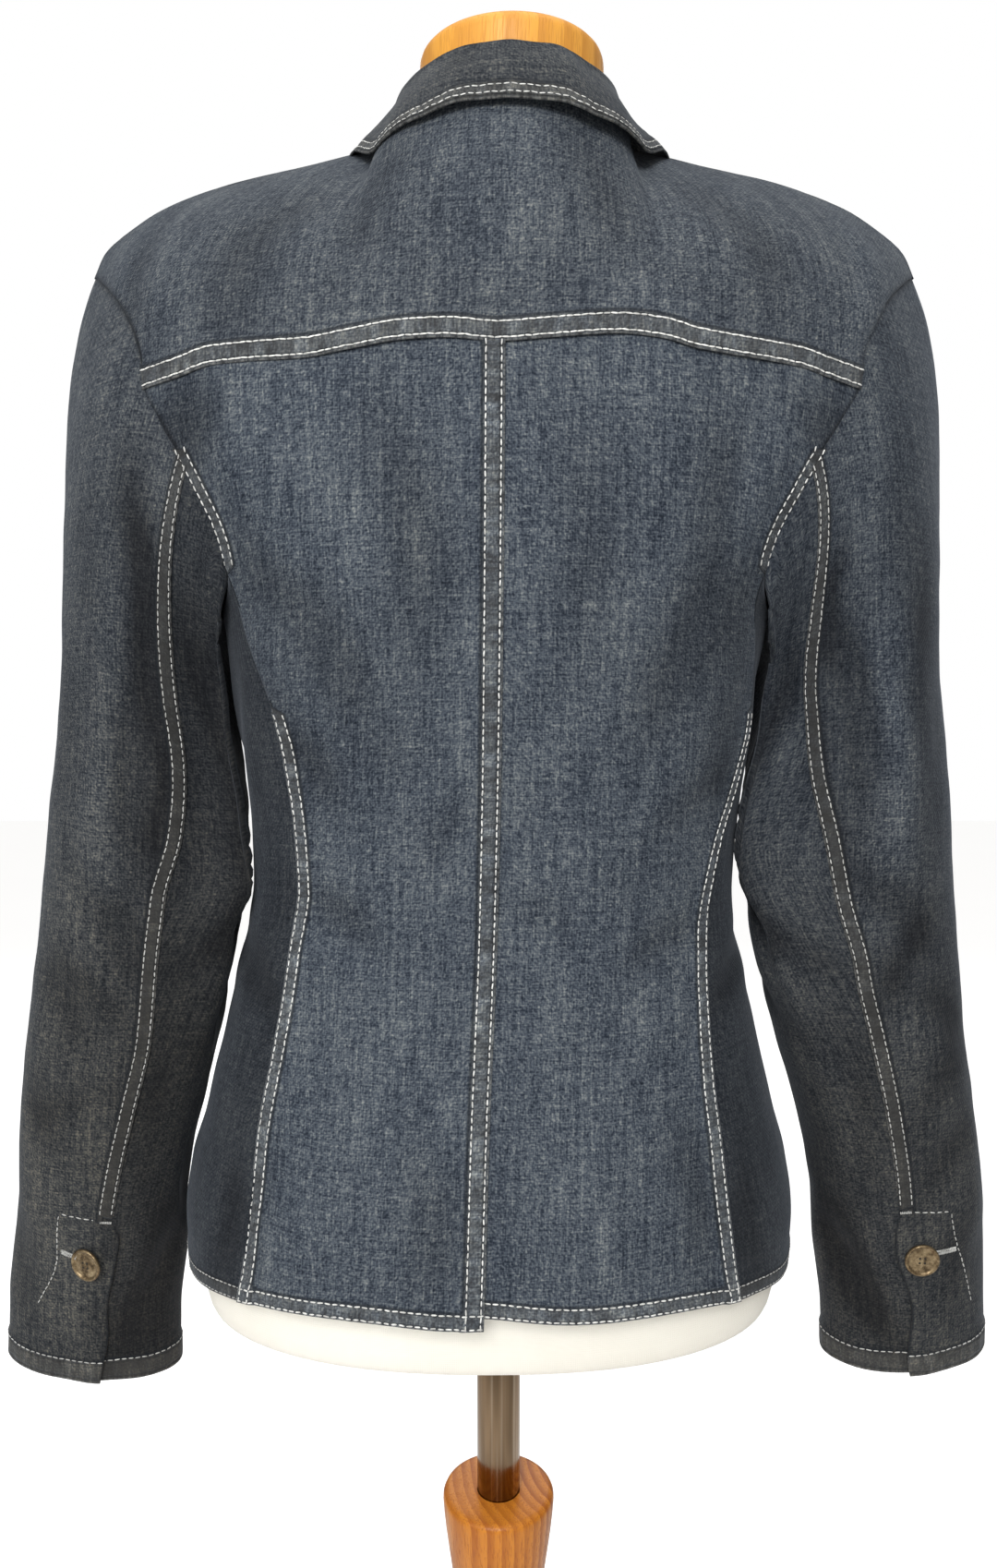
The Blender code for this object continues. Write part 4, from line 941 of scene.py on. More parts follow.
def weave_group():
    """Crossed dark and light yarns with slubs along the warp and faint uneven patches, then a brown tint and painted
    shade multiplied in.
    """
    n, ins, result = group("denim weave", ("Cloth", VECTOR, None), ("Tone", FLOAT, 0.0), ("Shade", FLOAT, 0.0))
    cloth = ins["Cloth"]
    yarns = n.times(n.noise(cloth, (210.0, 1050.0, 1.0), 2.0, 0.6), 0.36)
    for scale, detail, roughness, weight in (
        ((1050.0, 210.0, 1.0), 2.0, 0.6, 0.40), ((900.0, 900.0, 1.0), 1.0, 0.5, 0.30),
        ((420.0, 26.0, 1.0), 2.0, 0.5, 0.22), ((40.0, 420.0, 1.0), 2.0, 0.5, 0.14),
    ):
        yarns = n.times_plus(n.noise(cloth, scale, detail, roughness), weight, yarns)
    patches = n.noise(cloth, (42.0, 15.0, 1.0), 3.0, 0.6)
    twill = n.wave(cloth, 250.0, "DIAGONAL", 1.2, **{"Detail Scale": 2.0})
    light = n.times_plus(patches, 0.17, n.math("SUBTRACT", yarns, 0.295))
    light = n.times_plus(twill, 0.04, n.math("SUBTRACT", light, 0.020))
    colour = n.ramp(
        light, (0.32, (0.0050, 0.0085, 0.0160)), (0.42, (0.0230, 0.0310, 0.0450)),
        (0.51, (0.0600, 0.0730, 0.0920)), (0.60, (0.1220, 0.1380, 0.1500)), (0.73, (0.2600, 0.2720, 0.2600)))
    tinted_and_shaded = n.mix(ins["Tone"], colour, (0.78, 0.65, 0.50, 1.0), "MULTIPLY")
    # Painted shade: the Shade input darkens the cloth towards grey in folds, beside seams, on the side panels and on
    # the sleeves.
    tinted_and_shaded = n.mix(ins["Shade"], tinted_and_shaded, (0.20, 0.20, 0.21, 1.0), "MULTIPLY")
    n.fill(result, {"Color": tinted_and_shaded, "Height": n.times_plus(twill, 0.35, yarns)})
    return n.tree


def seam_group():
    """Puckers and wear of a felled seam: dark in its folds, paler and greyer on its crests; painted shade along its
    rows of stitches and a painted shadow line at its edge.
    """
    n, ins, result = group(
        "seam wear and shade", ("Seam", VECTOR, None), ("Color", COLOUR, (0.1, 0.1, 0.1, 1.0)), ("Band", FLOAT, FELLED))
    away = n.split(ins["Seam"])["X"]
    from_band = n.math("SUBTRACT", away, ins["Band"])
    inside = n.between(from_band, -0.0012, 0.0002, 1.0, 0.0)
    ribs = n.noise(ins["Seam"], (70.0, 300.0, 1.0), 3.0, 0.65)
    puckers = n.noise(ins["Seam"], (45.0, 90.0, 1.0), 2.0)
    value = n.times_plus(puckers, 0.45, n.times(ribs, 0.55))
    gain = n.ramp(value, (0.38, (0.34, 0.34, 0.35)), (0.48, (0.95, 0.93, 0.89)),
                  (0.55, (1.60, 1.55, 1.44)), (0.64, (2.60, 2.50, 2.30)))
    band = n.mix(0.22, n.mix(1.0, ins["Color"], gain, "MULTIPLY"), (0.115, 0.112, 0.104, 1.0))
    colour = n.mix(inside, ins["Color"], band)
    fold = n.between(away, 0.0001, 0.0010, 1.0, 0.0)
    patch = n.times(n.between(ribs, 0.42, 0.60), 0.50)
    colour = n.mix(n.times(fold, patch), colour, (0.26, 0.26, 0.245, 1.0))
    # Painted shadow: a dark line along the edge of the band, and at the edge of a plain seam, where the lapped edge
    # shades the cloth.
    shade = n.between(n.math("ABSOLUTE", from_band), 0.0, 0.0016, 0.72, 0.0)
    colour = n.mix(shade, colour, (0.006, 0.008, 0.011, 1.0))
    groove_a, groove_b = (
        n.between(n.math("ABSOLUTE", n.math("SUBTRACT", away, row)), 0.0, 0.0012) for row in TWIN)
    grooves = n.times(groove_a, groove_b)
    # Painted shade along the sunk rows of stitches.
    sunk = n.times(inside, n.math("SUBTRACT", 1.0, grooves))
    colour = n.mix(n.times(sunk, 0.38), colour, (0.010, 0.011, 0.013, 1.0))
    height = n.times(grooves, n.math("ADD", value, 0.4))
    n.fill(result, {"Color": colour, "Height": n.times(height, inside)})
    return n.tree


def grain_group():
    """Growth rings cut along their length, with fine pores."""
    n, ins, result = group(
        "wood grain", ("Place", VECTOR, None), ("Early", COLOUR, (0.7, 0.4, 0.15, 1.0)),
        ("Late", COLOUR, (0.45, 0.2, 0.06, 1.0)), ("Rings", FLOAT, 60.0))
    place = ins["Place"]
    bend = n.noise(place, (9.0, 9.0, 2.2), 2.0)
    shift = n.put("CombineXYZ", {"X": n.times(bend, 0.020), "Y": n.times(bend, 0.013)}).outputs["Vector"]
    parts = n.split(n.put("VectorMath", {0: place, 1: shift}, operation="ADD").outputs["Vector"])
    x, y = n.math("ADD", parts["X"], 0.055), n.math("ADD", parts["Y"], 0.018)
    radius = n.math("SQRT", n.math("ADD", n.times(x, x), n.times(y, y)))
    wave = n.math("FRACT", n.times(radius, ins["Rings"]))
    ring = n.times(n.between(wave, 0.15, 0.88), n.between(wave, 0.92, 1.0, 1.0, 0.0))
    pores = n.between(n.noise(place, (1500.0, 1500.0, 55.0), 2.0, 0.6), 0.50, 0.64)
    cloud = n.noise(place, (24.0, 24.0, 7.0), 3.0)
    amount = n.times(ring, n.between(cloud, 0.25, 0.75, 0.35, 1.0))
    colour = n.mix(amount, ins["Early"], ins["Late"])
    colour = n.mix(n.times(pores, 0.60), colour, ins["Late"])
    n.fill(result, {"Color": colour, "Height": n.times_plus(pores, -0.6, n.times(ring, -0.3))})
    return n.tree


def shared(n, name, make, inputs):
    """A node of a shared group, which is made the first time that it's wanted."""
    return n.put("Group", inputs, node_tree=bpy.data.node_groups.get(name) or make())


def finish(name, dress):
    """The material of a name. If it's new, dress gets its nodes and returns the shader's own inputs."""
    made = bpy.data.materials.get(name)
    if not made:
        made = bpy.data.materials.new(name)
        made.use_nodes = True
        n = Nodes(made.node_tree)
        n.fill(made.node_tree.nodes["Principled BSDF"], dress(n))
    return made


def bump(n, height, distance, strength=1.0, **onto):
    return n.put("Bump", {"Height": height, "Distance": distance, "Strength": strength, **onto}).outputs["Normal"]


def denim():
    def dress(n):
        cloth, seam = (n.put("UVMap", uv_map=name).outputs["UV"] for name in ("cloth", "seam"))
        tone, shade = (n.put("Attribute", attribute_name=name).outputs["Fac"] for name in ("tone", "shade"))
        weave = shared(n, "denim weave", weave_group, {"Cloth": cloth, "Tone": tone, "Shade": shade}).outputs
        wear = shared(n, "seam wear and shade", seam_group, {"Seam": seam, "Color": weave["Color"]}).outputs
        yarn = bump(n, weave["Height"], 0.00030, 0.7)
        return {
            "Base Color": wear["Color"], "Roughness": 0.86, "Specular IOR Level": 0.22, "Sheen Weight": 0.10,
            "Sheen Roughness": 0.45, "Sheen Tint": (0.70, 0.78, 0.90, 1.0),
            "Normal": bump(n, wear["Height"], 0.00070, 0.9, Normal=yarn),
        }
    return finish("washed denim", dress)


def thread_material(name="cream thread", brightness=1.0):
    def dress(n):
        place = n.place()
        dull, bright = (tuple(brightness * part for part in colour)
                        for colour in ((0.48, 0.48, 0.46), (0.84, 0.84, 0.81)))
        return {
            "Base Color": n.ramp(n.noise(place, 240.0), (0.34, dull), (0.60, bright)), "Roughness": 0.75,
            "Normal": bump(n, n.noise(place, 2600.0, 1.0), 0.0001),
        }
    return finish(name, dress)


def brass():
    def dress(n):
        place = n.place()
        spots, broad = n.noise(place, 620.0, 3.0, 0.6), n.noise(place, 170.0)
        value = n.times_plus(broad, 0.45, n.times_plus(spots, 0.35, 0.10))
        return {
            "Base Color": n.ramp(value, (0.36, (0.030, 0.021, 0.012)), (0.46, (0.150, 0.105, 0.058)),
                                 (0.58, (0.330, 0.250, 0.145)), (0.72, (0.560, 0.460, 0.300))),
            "Roughness": n.between(value, 0.36, 0.62, 0.62, 0.30), "Metallic": 0.9,
            "Normal": bump(n, value, 0.00018, 0.8),
        }
    return finish("antique brass", dress)


def dark_recess():
    def dress(n):
        # Painted shadow: the dark colour of the plugs stands for the shade inside a button's holes.
        shadow_mottle = n.noise(n.place(), 900.0)
        return {
            "Base Color": n.ramp(shadow_mottle, (0.3, (0.010, 0.008, 0.006)), (0.7, (0.035, 0.028, 0.020))), "Roughness": 0.9,
        }
    return finish("button hole shadow", dress)


def wood(name, early, late, rings, turn, shift=(0.0, 0.0, 0.0), roughness=0.36):
    def dress(n):
        place = n.put("Mapping", {"Vector": n.place(), "Rotation": turn, "Location": shift}).outputs["Vector"]
        grain = shared(n, "wood grain", grain_group, {
            "Place": place, "Early": (*early, 1.0), "Late": (*late, 1.0), "Rings": rings,
        }).outputs
        return {
            "Base Color": grain["Color"], "Coat Weight": 0.08, "Coat Roughness": 0.25, "Specular IOR Level": 0.3,
            "Roughness": n.between(grain["Height"], -0.6, 0.0, roughness + 0.15, roughness),
            "Normal": bump(n, grain["Height"], 0.0002, 0.6),
        }
    return finish(name, dress)


def jersey(settings):
    def dress(n):
        place = n.place()
        knit = n.times(n.wave(place, 330.0, "X"), n.wave(place, 270.0, "Z"))
        cloud = n.between(n.noise(place, (14.0, 14.0, 9.0), 3.0), 0.3, 0.7)
        return {
            "Base Color": n.mix(cloud, (*settings.jersey_colour, 1.0), (0.95, 0.92, 0.83, 1.0)),
            "Roughness": 0.85, "Sheen Weight": 0.15, "Normal": bump(n, knit, 0.00022, 0.5),
        }
    return finish("cream jersey", dress)


def steel(settings):
    def dress(n):
        place = n.place()
        # Painted reflection: broad vertical bands and lighter fine streaks in the colour stand for the room reflected
        # in the tube; the fine streaks also vary its gloss.
        streaks, reflection_bands = n.noise(place, (420.0, 420.0, 3.0), 3.0, 0.6), n.noise(place, (130.0, 130.0, 9.0), 2.0)
        dark = tuple(0.55 * value for value in settings.tube_colour)
        colour = n.mix(n.between(reflection_bands, 0.35, 0.65), (*dark, 1.0), (*settings.tube_colour, 1.0))
        return {
            "Base Color": n.mix(n.between(streaks, 0.50, 0.70, 0.0, 0.6), colour, (0.48, 0.40, 0.31, 1.0)),
            "Roughness": n.between(streaks, 0.3, 0.7, 0.12, 0.26), "Metallic": 1.0,
            "Normal": bump(n, streaks, 0.00003, 0.5),
        }
    return finish("polished steel tube", dress)


# ---------------------------------------------------------------- the lie of each panel
# share across and along at both ends, width and height of a soft fold; troughs are negative
BACK_FOLDS = {
    1: table(FOLD_UNITS,
        (96, 80, 42, 60, 18, -2), (100, 62, 60, 52, 11, -1.4), (98, 45, 45, 40, 10, -1.5), (92, 39, 40, 36, 8, 1),
        (30, 97, 27, 62, 20, -1.2), (64, 98, 60, 72, 15, 1.1), (55, 26, 62, 2, 18, 1.6), (24, 22, 20, 0, 16, -1.3),
        (86, 20, 90, 0, 12, -1.2), (12, 55, 30, 48, 10, -0.8)),
    -1: table(FOLD_UNITS,
        (94, 78, 40, 58, 18, -1.8), (100, 58, 52, 50, 11, -1.3), (96, 42, 50, 38, 10, -1.4),
        (20, 95, 25, 66, 18, -1), (52, 98, 56, 66, 18, -1.2), (76, 96, 72, 74, 12, 1.1), (42, 24, 40, 2, 18, 1.4),
        (72, 24, 78, 0, 15, -1.4), (10, 45, 34, 41, 10, -0.8), (88, 33, 55, 30, 9, 0.9)),
}
YOKE_FOLDS = table(FOLD_UNITS,
    (17, 12, 30, 74, 16, -1.2), (83, 10, 70, 70, 18, -1.4), (41, 84, 35, 34, 13, -1), (62, 84, 67, 30, 13, -0.9),
    (50, 92, 51, 30, 20, 1), (7, 18, 13, 80, 10, 1), (94, 18, 87, 80, 10, -1.1), (27, 5, 36, 22, 10, 0.8))
SIDE_FOLDS = table(FOLD_UNITS,
    (20, 96, 50, 62, 13, -2), (62, 90, 45, 55, 12, -1.6), (55, 52, 5, 43, 10, -1.6), (95, 50, 45, 42, 10, -1.5),
    (50, 26, 52, 2, 18, 1.4), (20, 24, 16, 2, 12, -1))
FRONT_FOLDS = table(FOLD_UNITS,
    (92, 52, 50, 50, 14, -1.4), (98, 40, 45, 34, 12, -1.6), (90, 34, 40, 30, 9, 1), (88, 62, 60, 54, 14, -1.4),
    (80, 95, 84, 74, 14, -1.2), (45, 16, 50, 1, 16, 1.2), (78, 18, 80, 1, 14, -1.2), (96, 80, 80, 68, 12, -1.4))
UPPER_FOLDS = {
    1: table(FOLD_UNITS,
        (88, 20, 85, 47, 11, -2.6), (63, 10, 67, 44, 17, -1.4), (74, 46, 96, 57, 12, -2.2),
        (54, 53, 82, 64, 13, -1.7), (94, 66, 60, 73, 10, -1.2), (52, 76, 66, 98, 15, -1.2),
        (80, 30, 78, 52, 10, 1.2), (20, 12, 26, 46, 16, -1.6), (10, 44, 36, 55, 12, -2.2),
        (14, 56, 34, 62, 10, -1.6), (30, 66, 24, 95, 15, -1.3), (45, 25, 46, 60, 18, 1.2)),
    -1: table(FOLD_UNITS,
        (90, 16, 84, 42, 12, -2.4), (70, 12, 66, 50, 18, -1.6), (96, 44, 70, 55, 12, -2), (84, 56, 56, 66, 13, -1.6),
        (62, 70, 90, 80, 11, -1.3), (56, 80, 60, 98, 15, -1.2), (78, 24, 76, 46, 10, 1.3),
        (22, 14, 24, 50, 16, -1.6), (10, 46, 34, 54, 12, -2), (12, 58, 36, 66, 10, -1.6), (28, 70, 26, 96, 15, -1.2),
        (44, 20, 47, 58, 18, 1.2)),
}
UNDER_FOLDS = table(FOLD_UNITS,
    (34, 6, 52, 36, 13, -2.6), (14, 18, 28, 52, 11, -2), (62, 44, 18, 54, 12, -2.4), (74, 54, 28, 62, 10, -1.8),
    (50, 68, 44, 96, 14, -1.5), (22, 66, 20, 90, 10, 1), (80, 12, 74, 42, 12, -1.6), (55, 80, 16, 97, 11, -2.2),
    (30, 74, 66, 93, 9, 1.2))
COLLAR_FOLDS = table(FOLD_UNITS,
    (84, 20, 62, 24, 8, -0.8), (82, 40, 60, 38, 10, 0.9), (86, 58, 60, 61, 10, -0.9), (84, 78, 62, 75, 8, 0.8))
# painted shade in the folds, and painted light where the darkness is negative: the same shares, then width and
# darkness
UPPER_DARKS = {
    1: table(DARK_UNITS,
        (76, 6, 90, 30, 11, 0.95), (90, 29, 94.5, 46, 10, 0.9), (62, 16, 70, 40, 14, -0.22),
        (66, 53, 95, 62, 10, 0.4), (50, 66, 80, 74, 12, 0.3), (86, 62, 92, 84, 7, 0.35), (52, 10, 58, 52, 12, 0.35),
        (72, 72, 78, 95, 16, -0.2)),
    -1: table(DARK_UNITS,
        (84, 10, 94, 28, 8, 0.5), (94, 28, 95, 44, 8, 0.5), (70, 50, 95, 60, 10, 0.45), (55, 62, 85, 70, 12, 0.4),
        (62, 18, 72, 44, 12, 0.35), (66, 78, 80, 92, 10, 0.4), (74, 20, 80, 60, 12, -0.2), (52, 40, 60, 90, 14, 0.3)),
}
UNDER_DARKS = table(DARK_UNITS,
    (58, 76, 22, 93, 12, 0.4), (10, 62, 14, 80, 8, 0.25), (55, 8, 65, 42, 16, 0.3), (30, 45, 75, 54, 12, 0.28),
    (85, 30, 80, 70, 14, 0.25))
BACK_DARKS = {
    1: table(DARK_UNITS,
        (99, 98.5, 82, 84, 28, 0.7), (98, 74, 97, 45, 20, 0.4), (94, 24, 97, 2, 14, 0.2), (60, 60, 35, 57, 12, 0.12),
        (30, 92, 28, 70, 14, 0.12), (70, 40, 40, 37, 12, 0.12)),
    -1: table(DARK_UNITS,
        (99, 98.5, 85, 86, 24, 0.55), (98, 78, 95, 50, 20, 0.46), (97, 46, 97, 20, 12, 0.24),
        (52, 94, 56, 70, 14, 0.12), (60, 48, 30, 45, 12, 0.12)),
}
# height of the bar tack at the top of each cuff's vent
VENT_TOP = {1: 0.8794, -1: 0.8855}
SEWN = {}                   # rows of stitches by group, filled while the panels are made


def sewn_piece(name, panel, node, seams, settings):
    """A panel as a piece of cloth with its rows of stitches kept for later."""
    made = cloth_piece(name, panel, node, settings.cloth_thickness)
    SEWN.setdefault(seams, []).extend(panel.rows_of_stitches())


def below(top):
    return lambda height: height < top


def above(low):
    return lambda height: height > low


def between_heights(low, top):
    return lambda height: (height > low) & (height <= top)


def hem_seam():
    return Seam("near_row", lines=(0.0011, 0.0074), band=0.0084, lift=0.0008)


def cuff_seam():
    return Seam("far_row", (0.0127,), 0.0133, 0.0007)


def close_seam(keep, dull=0.0):
    return Seam("far_column", CLOSE_TWIN, CLOSE_FELLED, 0.0010, 0.0008, keep=keep, dull=dull)


BODY = np.array((0.0, 0.0, 1.15))   # a place inside, for telling which way cloth faces


def make_yoke():
    return Panel(waved(yoke_sheet()), BODY, (
        Seam("near_row", TWIN, FELLED, 0.0013, 0.0014), Seam("near_column", dull=0.5), Seam("far_column", dull=0.5),
        Seam("far_row"),
    ), YOKE_FOLDS, phase=0.4, tone=0.16, shade=0.13)


def make_back(side):
    centre = Seam("near_column", TWIN, FELLED, 0.0011, 0.0042) if side > 0 else Seam("near_column")
    points = waved(back_sheet(side))
    away = np.abs(points[..., 0] - points[:, :1, 0])
    hang = smooth((HANG_TOP - points[..., 2]) / HANG_FADE)
    points[..., 2] += hang * (0.0042 * hump(away, 0.030) if side < 0 else -0.0012 * hump(away - 0.020, 0.020))
    points[..., 1] += hang * hump(away, 0.035) * (0.0022 if side > 0 else -0.0004)
    return Panel(points, BODY, (
        hem_seam(), centre, close_seam(below(SEAM_TURN_HEIGHT)),
        Seam("far_column", keep=between_heights(SEAM_TURN_HEIGHT, ARMHOLE_ROWS[0])),
        close_seam(between_heights(*ARMHOLE_ROWS), dull=0.3),
        Seam("far_column", keep=above(ARMHOLE_ROWS[1]), dull=1.1), Seam("far_row"),
    ), BACK_FOLDS[side], phase=1.1 + side, grain=0, strokes=BACK_DARKS[side])


def make_side(side):
    # Painted shade: the side panels are darkened as they turn away from the light.
    return Panel(side_sheet(side), BODY, (
        hem_seam(), Seam("far_row"), Seam("near_column"), Seam("far_column"),
    ), SIDE_FOLDS, phase=2.3 + side, tone=0.10, shade=0.80)


def make_front(side):
    return Panel(front_sheet(side), BODY, (
        hem_seam(), Seam("near_column", TWIN, FELLED, 0.0006, keep=below(1.20)),
        Seam("far_column", TWIN, FELLED, 0.0010, 0.0008, keep=below(JUNCTION_HEIGHT)),
        Seam("far_column", keep=above(JUNCTION_HEIGHT)), Seam("far_row"),
    ), FRONT_FOLDS, phase=3.1 + side, tone=0.05)


def sleeve_tone(panel, side):
    fall = smooth((1.30 - panel.points[..., 2]) / 0.40)
    panel.tone = (0.35 + 0.55 * fall) if side > 0 else (0.05 + 0.75 * fall ** 2)
    return panel


def make_upper_sleeve(side):
    centre = np.array((side * SLEEVE_CENTRE_X, 0.0, 1.05))
    points = sleeve_sheet(side, FRONT_SEAM - 360, BACK_SEAM, 66)
    normals = outward(points, centre)
    edge = from_edge(points, "far_column")
    open_share = smooth((VENT_TOP[side] - points[..., 2]) / 0.012)
    wave = 0.0016 * np.sin((VENT_TOP[side] - points[..., 2]) * 95.0 + side) * hump(edge, 0.010)
    lapped = unit(points[:, [-1]] - points[:, [-3]]) * (0.0018 + 1.4 * wave[:, [-1], None])
    points += normals * (open_share * (0.0016 * hump(edge, 0.014) + 0.4 * np.abs(wave)))[..., None]
    points[:, -1:] += lapped * open_share[:, [-1], None]
    panel = Panel(points, centre, (
        cuff_seam(),
        close_seam(above(VENT_TOP[side]), dull=0.42),
        Seam("far_column", keep=below(VENT_TOP[side])), Seam("near_row", dull=0.6), Seam("near_column"),
    ), UPPER_FOLDS[side], amount=0.0003, phase=4.2 + side, from_far=True, head=HEAD_ROWS, strokes=UPPER_DARKS[side])
    # Painted shade: the whole upper sleeve darker, and more so towards its back seam below the head.
    turns = np.linspace(FRONT_SEAM - 360, BACK_SEAM, points.shape[1])[None, :]
    seamward = smooth((turns - 78) / 40) * smooth((1.31 - points[..., 2]) / 0.06)
    panel.shade = panel.shade + (0.16 if side > 0 else 0.36) + (0.20 if side > 0 else 0.04) * seamward
    return sleeve_tone(panel, side)


def make_under_sleeve(side):
    centre = np.array((side * SLEEVE_CENTRE_X, 0.0, 1.05))
    # Painted shade: the under sleeves are darkened, the left one more, as they lie in shadow.
    panel = Panel(sleeve_sheet(side, BACK_SEAM, FRONT_SEAM, 76), centre, (
        cuff_seam(), Seam("near_column"), Seam("near_row"), Seam("far_column"),
    ), UNDER_FOLDS, amount=0.0003, phase=5.2 + side, shade=0.74 if side > 0 else 0.52, from_far=True,
        head=HEAD_ROWS, strokes=UNDER_DARKS)
    return sleeve_tone(panel, side)


class BlazerSettings(bpy.types.PropertyGroup):
    """Sizes and colours that change the look without changing the cut."""

    cloth_thickness: FloatProperty(
        name="Cloth thickness", description="Thickness of the denim", default=0.0010, unit="LENGTH")
    stitch_length: FloatProperty(
        name="Stitch length", description="Length of thread that shows in one stitch", default=0.0029, unit="LENGTH")
    stitch_pitch: FloatProperty(
        name="Stitch pitch", description="Distance from one stitch to the next", default=0.0037, unit="LENGTH")
    thread_width: FloatProperty(
        name="Thread width", description="Thickness of the topstitching thread", default=0.00086, unit="LENGTH")
    jersey_colour: FloatVectorProperty(
        name="Jersey colour", description="Colour of the form's cover", default=(0.90, 0.865, 0.77),
        subtype="COLOR", min=0.0, max=1.0)
    tube_colour: FloatVectorProperty(
        name="Tube colour", description="Colour of the polished tube", default=(0.30, 0.205, 0.125),
        subtype="COLOR", min=0.0, max=1.0)
    wood_early: FloatVectorProperty(
        name="Pale wood", description="Colour of the wood between its rings", default=(0.60, 0.215, 0.022),
        subtype="COLOR", min=0.0, max=1.0)
    wood_late: FloatVectorProperty(
        name="Dark wood", description="Colour of the wood's rings", default=(0.33, 0.080, 0.006),
        subtype="COLOR", min=0.0, max=1.0)
    turning_steps: IntProperty(
        name="Turning steps", description="Sides of a turned piece", default=96, min=24, max=256)


def settings_of(context):
    return context.scene.blazer


class BLAZER_OT_body(bpy.types.Operator):
    """Makes the yoke and the back, side and front panels"""

    bl_idname = "blazer.body"
    bl_label = "Body panels"

    def execute(self, context):
        settings = settings_of(context)
        sewn_piece("blazer_yoke", make_yoke(), "back_yoke", "yoke", settings)
        for side, word in SIDES:
            for part, make, holder in (
                ("back", make_back, "blazer_yoke"),
                ("side", make_side, "form_body"),
                ("front", make_front, "form_body"),
            ):
                node = f"{part}_{word}"
                sewn_piece(f"blazer_{node}", make(side), node, f"{part}_seams", settings)
        return {"FINISHED"}


class BLAZER_OT_sleeves(bpy.types.Operator):
    """Makes the two-piece sleeves with their vents"""

    bl_idname = "blazer.sleeves"
    bl_label = "Sleeves"

    def execute(self, context):
        settings = settings_of(context)
        for side, word in SIDES:
            for part, make in (("upper", make_upper_sleeve), ("under", make_under_sleeve)):
                node = f"{part}_sleeve_{word}"
                sewn_piece(f"blazer_{node}", make(side), node, f"sleeve_seams_{word}", settings)
        return {"FINISHED"}


def make_collar():
    points = collar_sheet()
    share = np.abs(np.linspace(-1.0, 1.0, len(points)))[:, None]
    low = smooth((np.linspace(0.0, 1.0, points.shape[1])[None, :] - 0.55) / 0.45)
    points[..., 2] -= (0.0040 * hump(share - 0.66, 0.15) + 0.0045 * hump(share - 0.54, 0.07)) * low
    return Panel(points, np.array((COLLAR_CENTRE_X, 0.0, 1.44)), (
        Seam("far_column", EDGE_ROWS, EDGE_BAND, 0.0004), Seam("near_row", EDGE_ROWS, colour=False),
        Seam("far_row", EDGE_ROWS, colour=False),
    ), COLLAR_FOLDS, amount=0.00025, phase=6.0, tone=0.62, shade=0.30, grain="round")


def make_lapel(side):
    points = lapel_sheet(side)
    rise = 0.0007 + 0.0021 * smooth(from_edge(points, "near_column") / 0.006)
    return Panel(points + outward(points, BODY) * rise[..., None], BODY, (
        Seam("far_column", EDGE_ROWS, EDGE_BAND, 0.0003), Seam("far_row", EDGE_ROWS, colour=False),
    ), amount=0.0002, phase=7.0 + side, tone=0.10)


def make_flap(side):
    points = flap_sheet(side)
    rows, columns = points.shape[:2]
    rear = (1.0 - np.linspace(0.0, 1.0, columns)) ** 2
    rise = 0.0030 + FLAP_STAND_OFF * np.linspace(0.0, 1.0, rows)[:, None] * rear
    return Panel(points + outward(points, BODY) * rise[..., None], BODY, [
        Seam(edge, EDGE_ROWS, EDGE_BAND, 0.0003) for edge in ("near_column", "far_column", "far_row")
    ], amount=0.0002, phase=8.0 + side, tone=0.10)


class BLAZER_OT_collar(bpy.types.Operator):
    """Makes the collar, the lapels and the pocket flaps"""

    bl_idname = "blazer.collar"
    bl_label = "Collar, lapels and flaps"

    def execute(self, context):
        settings = settings_of(context)
        sewn_piece("blazer_collar", make_collar(), "collar", "collar_seams", settings)
        for side, word in SIDES:
            for part, make, node in (("lapel", make_lapel, "lapel"), ("flap", make_flap, "pocket_flap")):
                sewn_piece(f"blazer_{part}_{word}", make(side), f"{node}_{word}",
                           "collar_seams", settings)
        return {"FINISHED"}


def sleeve_place(side, height, turn):
    """A place on a sleeve's outer face, and the way it faces."""
    along = sleeve_ring(side, height, turn + 2) - sleeve_ring(side, height, turn - 2)
    up = sleeve_ring(side, height + 0.004, turn) - sleeve_ring(side, height - 0.004, turn)
    return sleeve_ring(side, height, turn), unit(side * np.cross(along, up))


def on_cuff(side, height, outwards):
    """A place on the upper sleeve a distance outwards from its back seam, and its facing."""
    turns = np.linspace(BACK_SEAM, 0.0, 90)
    return sleeve_place(side, height, np.interp(outwards, lengths(sleeve_ring(side, height, turns)), turns))


def cuff_line(side, corners, lift=0.0004, count=24):
    """A stitch line on the cuff through corners given as height and distance from the seam."""
    path, facing = [], []
    for (height_a, out_a), (height_b, out_b) in zip(corners, corners[1:]):
        for t in np.linspace(0.0, 1.0, count):
            place, normal = on_cuff(side, height_a + t * (height_b - height_a), out_a + t * (out_b - out_a))
            path.append(place + normal * lift)
            facing.append(normal)
    return np.array(path), np.array(facing)


class BLAZER_OT_stitching(bpy.types.Operator):
    """Lays the topstitching along every seam"""

    bl_idname = "blazer.stitching"
    bl_label = "Topstitching"

    def execute(self, context):
        settings = settings_of(context)
        for side, word in SIDES:
            top = VENT_TOP[side]
            corner = top + side * 0.0030
            SEWN[f"sleeve_seams_{word}"] += [
                cuff_line(side, ((top + 0.0005, 0.003), (corner, 0.028))),
                cuff_line(side, ((corner - 0.0010, 0.029), (top - 0.026, 0.0305), (0.822, 0.037))),
            ]
        pitch, length = settings.stitch_pitch, settings.stitch_length
        for name, lines in SEWN.items():
            # Stitches on the sleeves and side panels are finer, and their thread is darkened with painted shade.
            dim = name.startswith(("sleeve", "side"))
            fine = 0.72 if name.startswith("collar") else 0.85 if dim else 1.0
            stitches_piece(
                f"stitches_{name}", lines, thread_material("shaded thread", 0.66) if dim else thread_material(),
                settings.thread_width * fine, *((0.0034, 0.0035) if name == "yoke" else (pitch, length)))
        return {"FINISHED"}


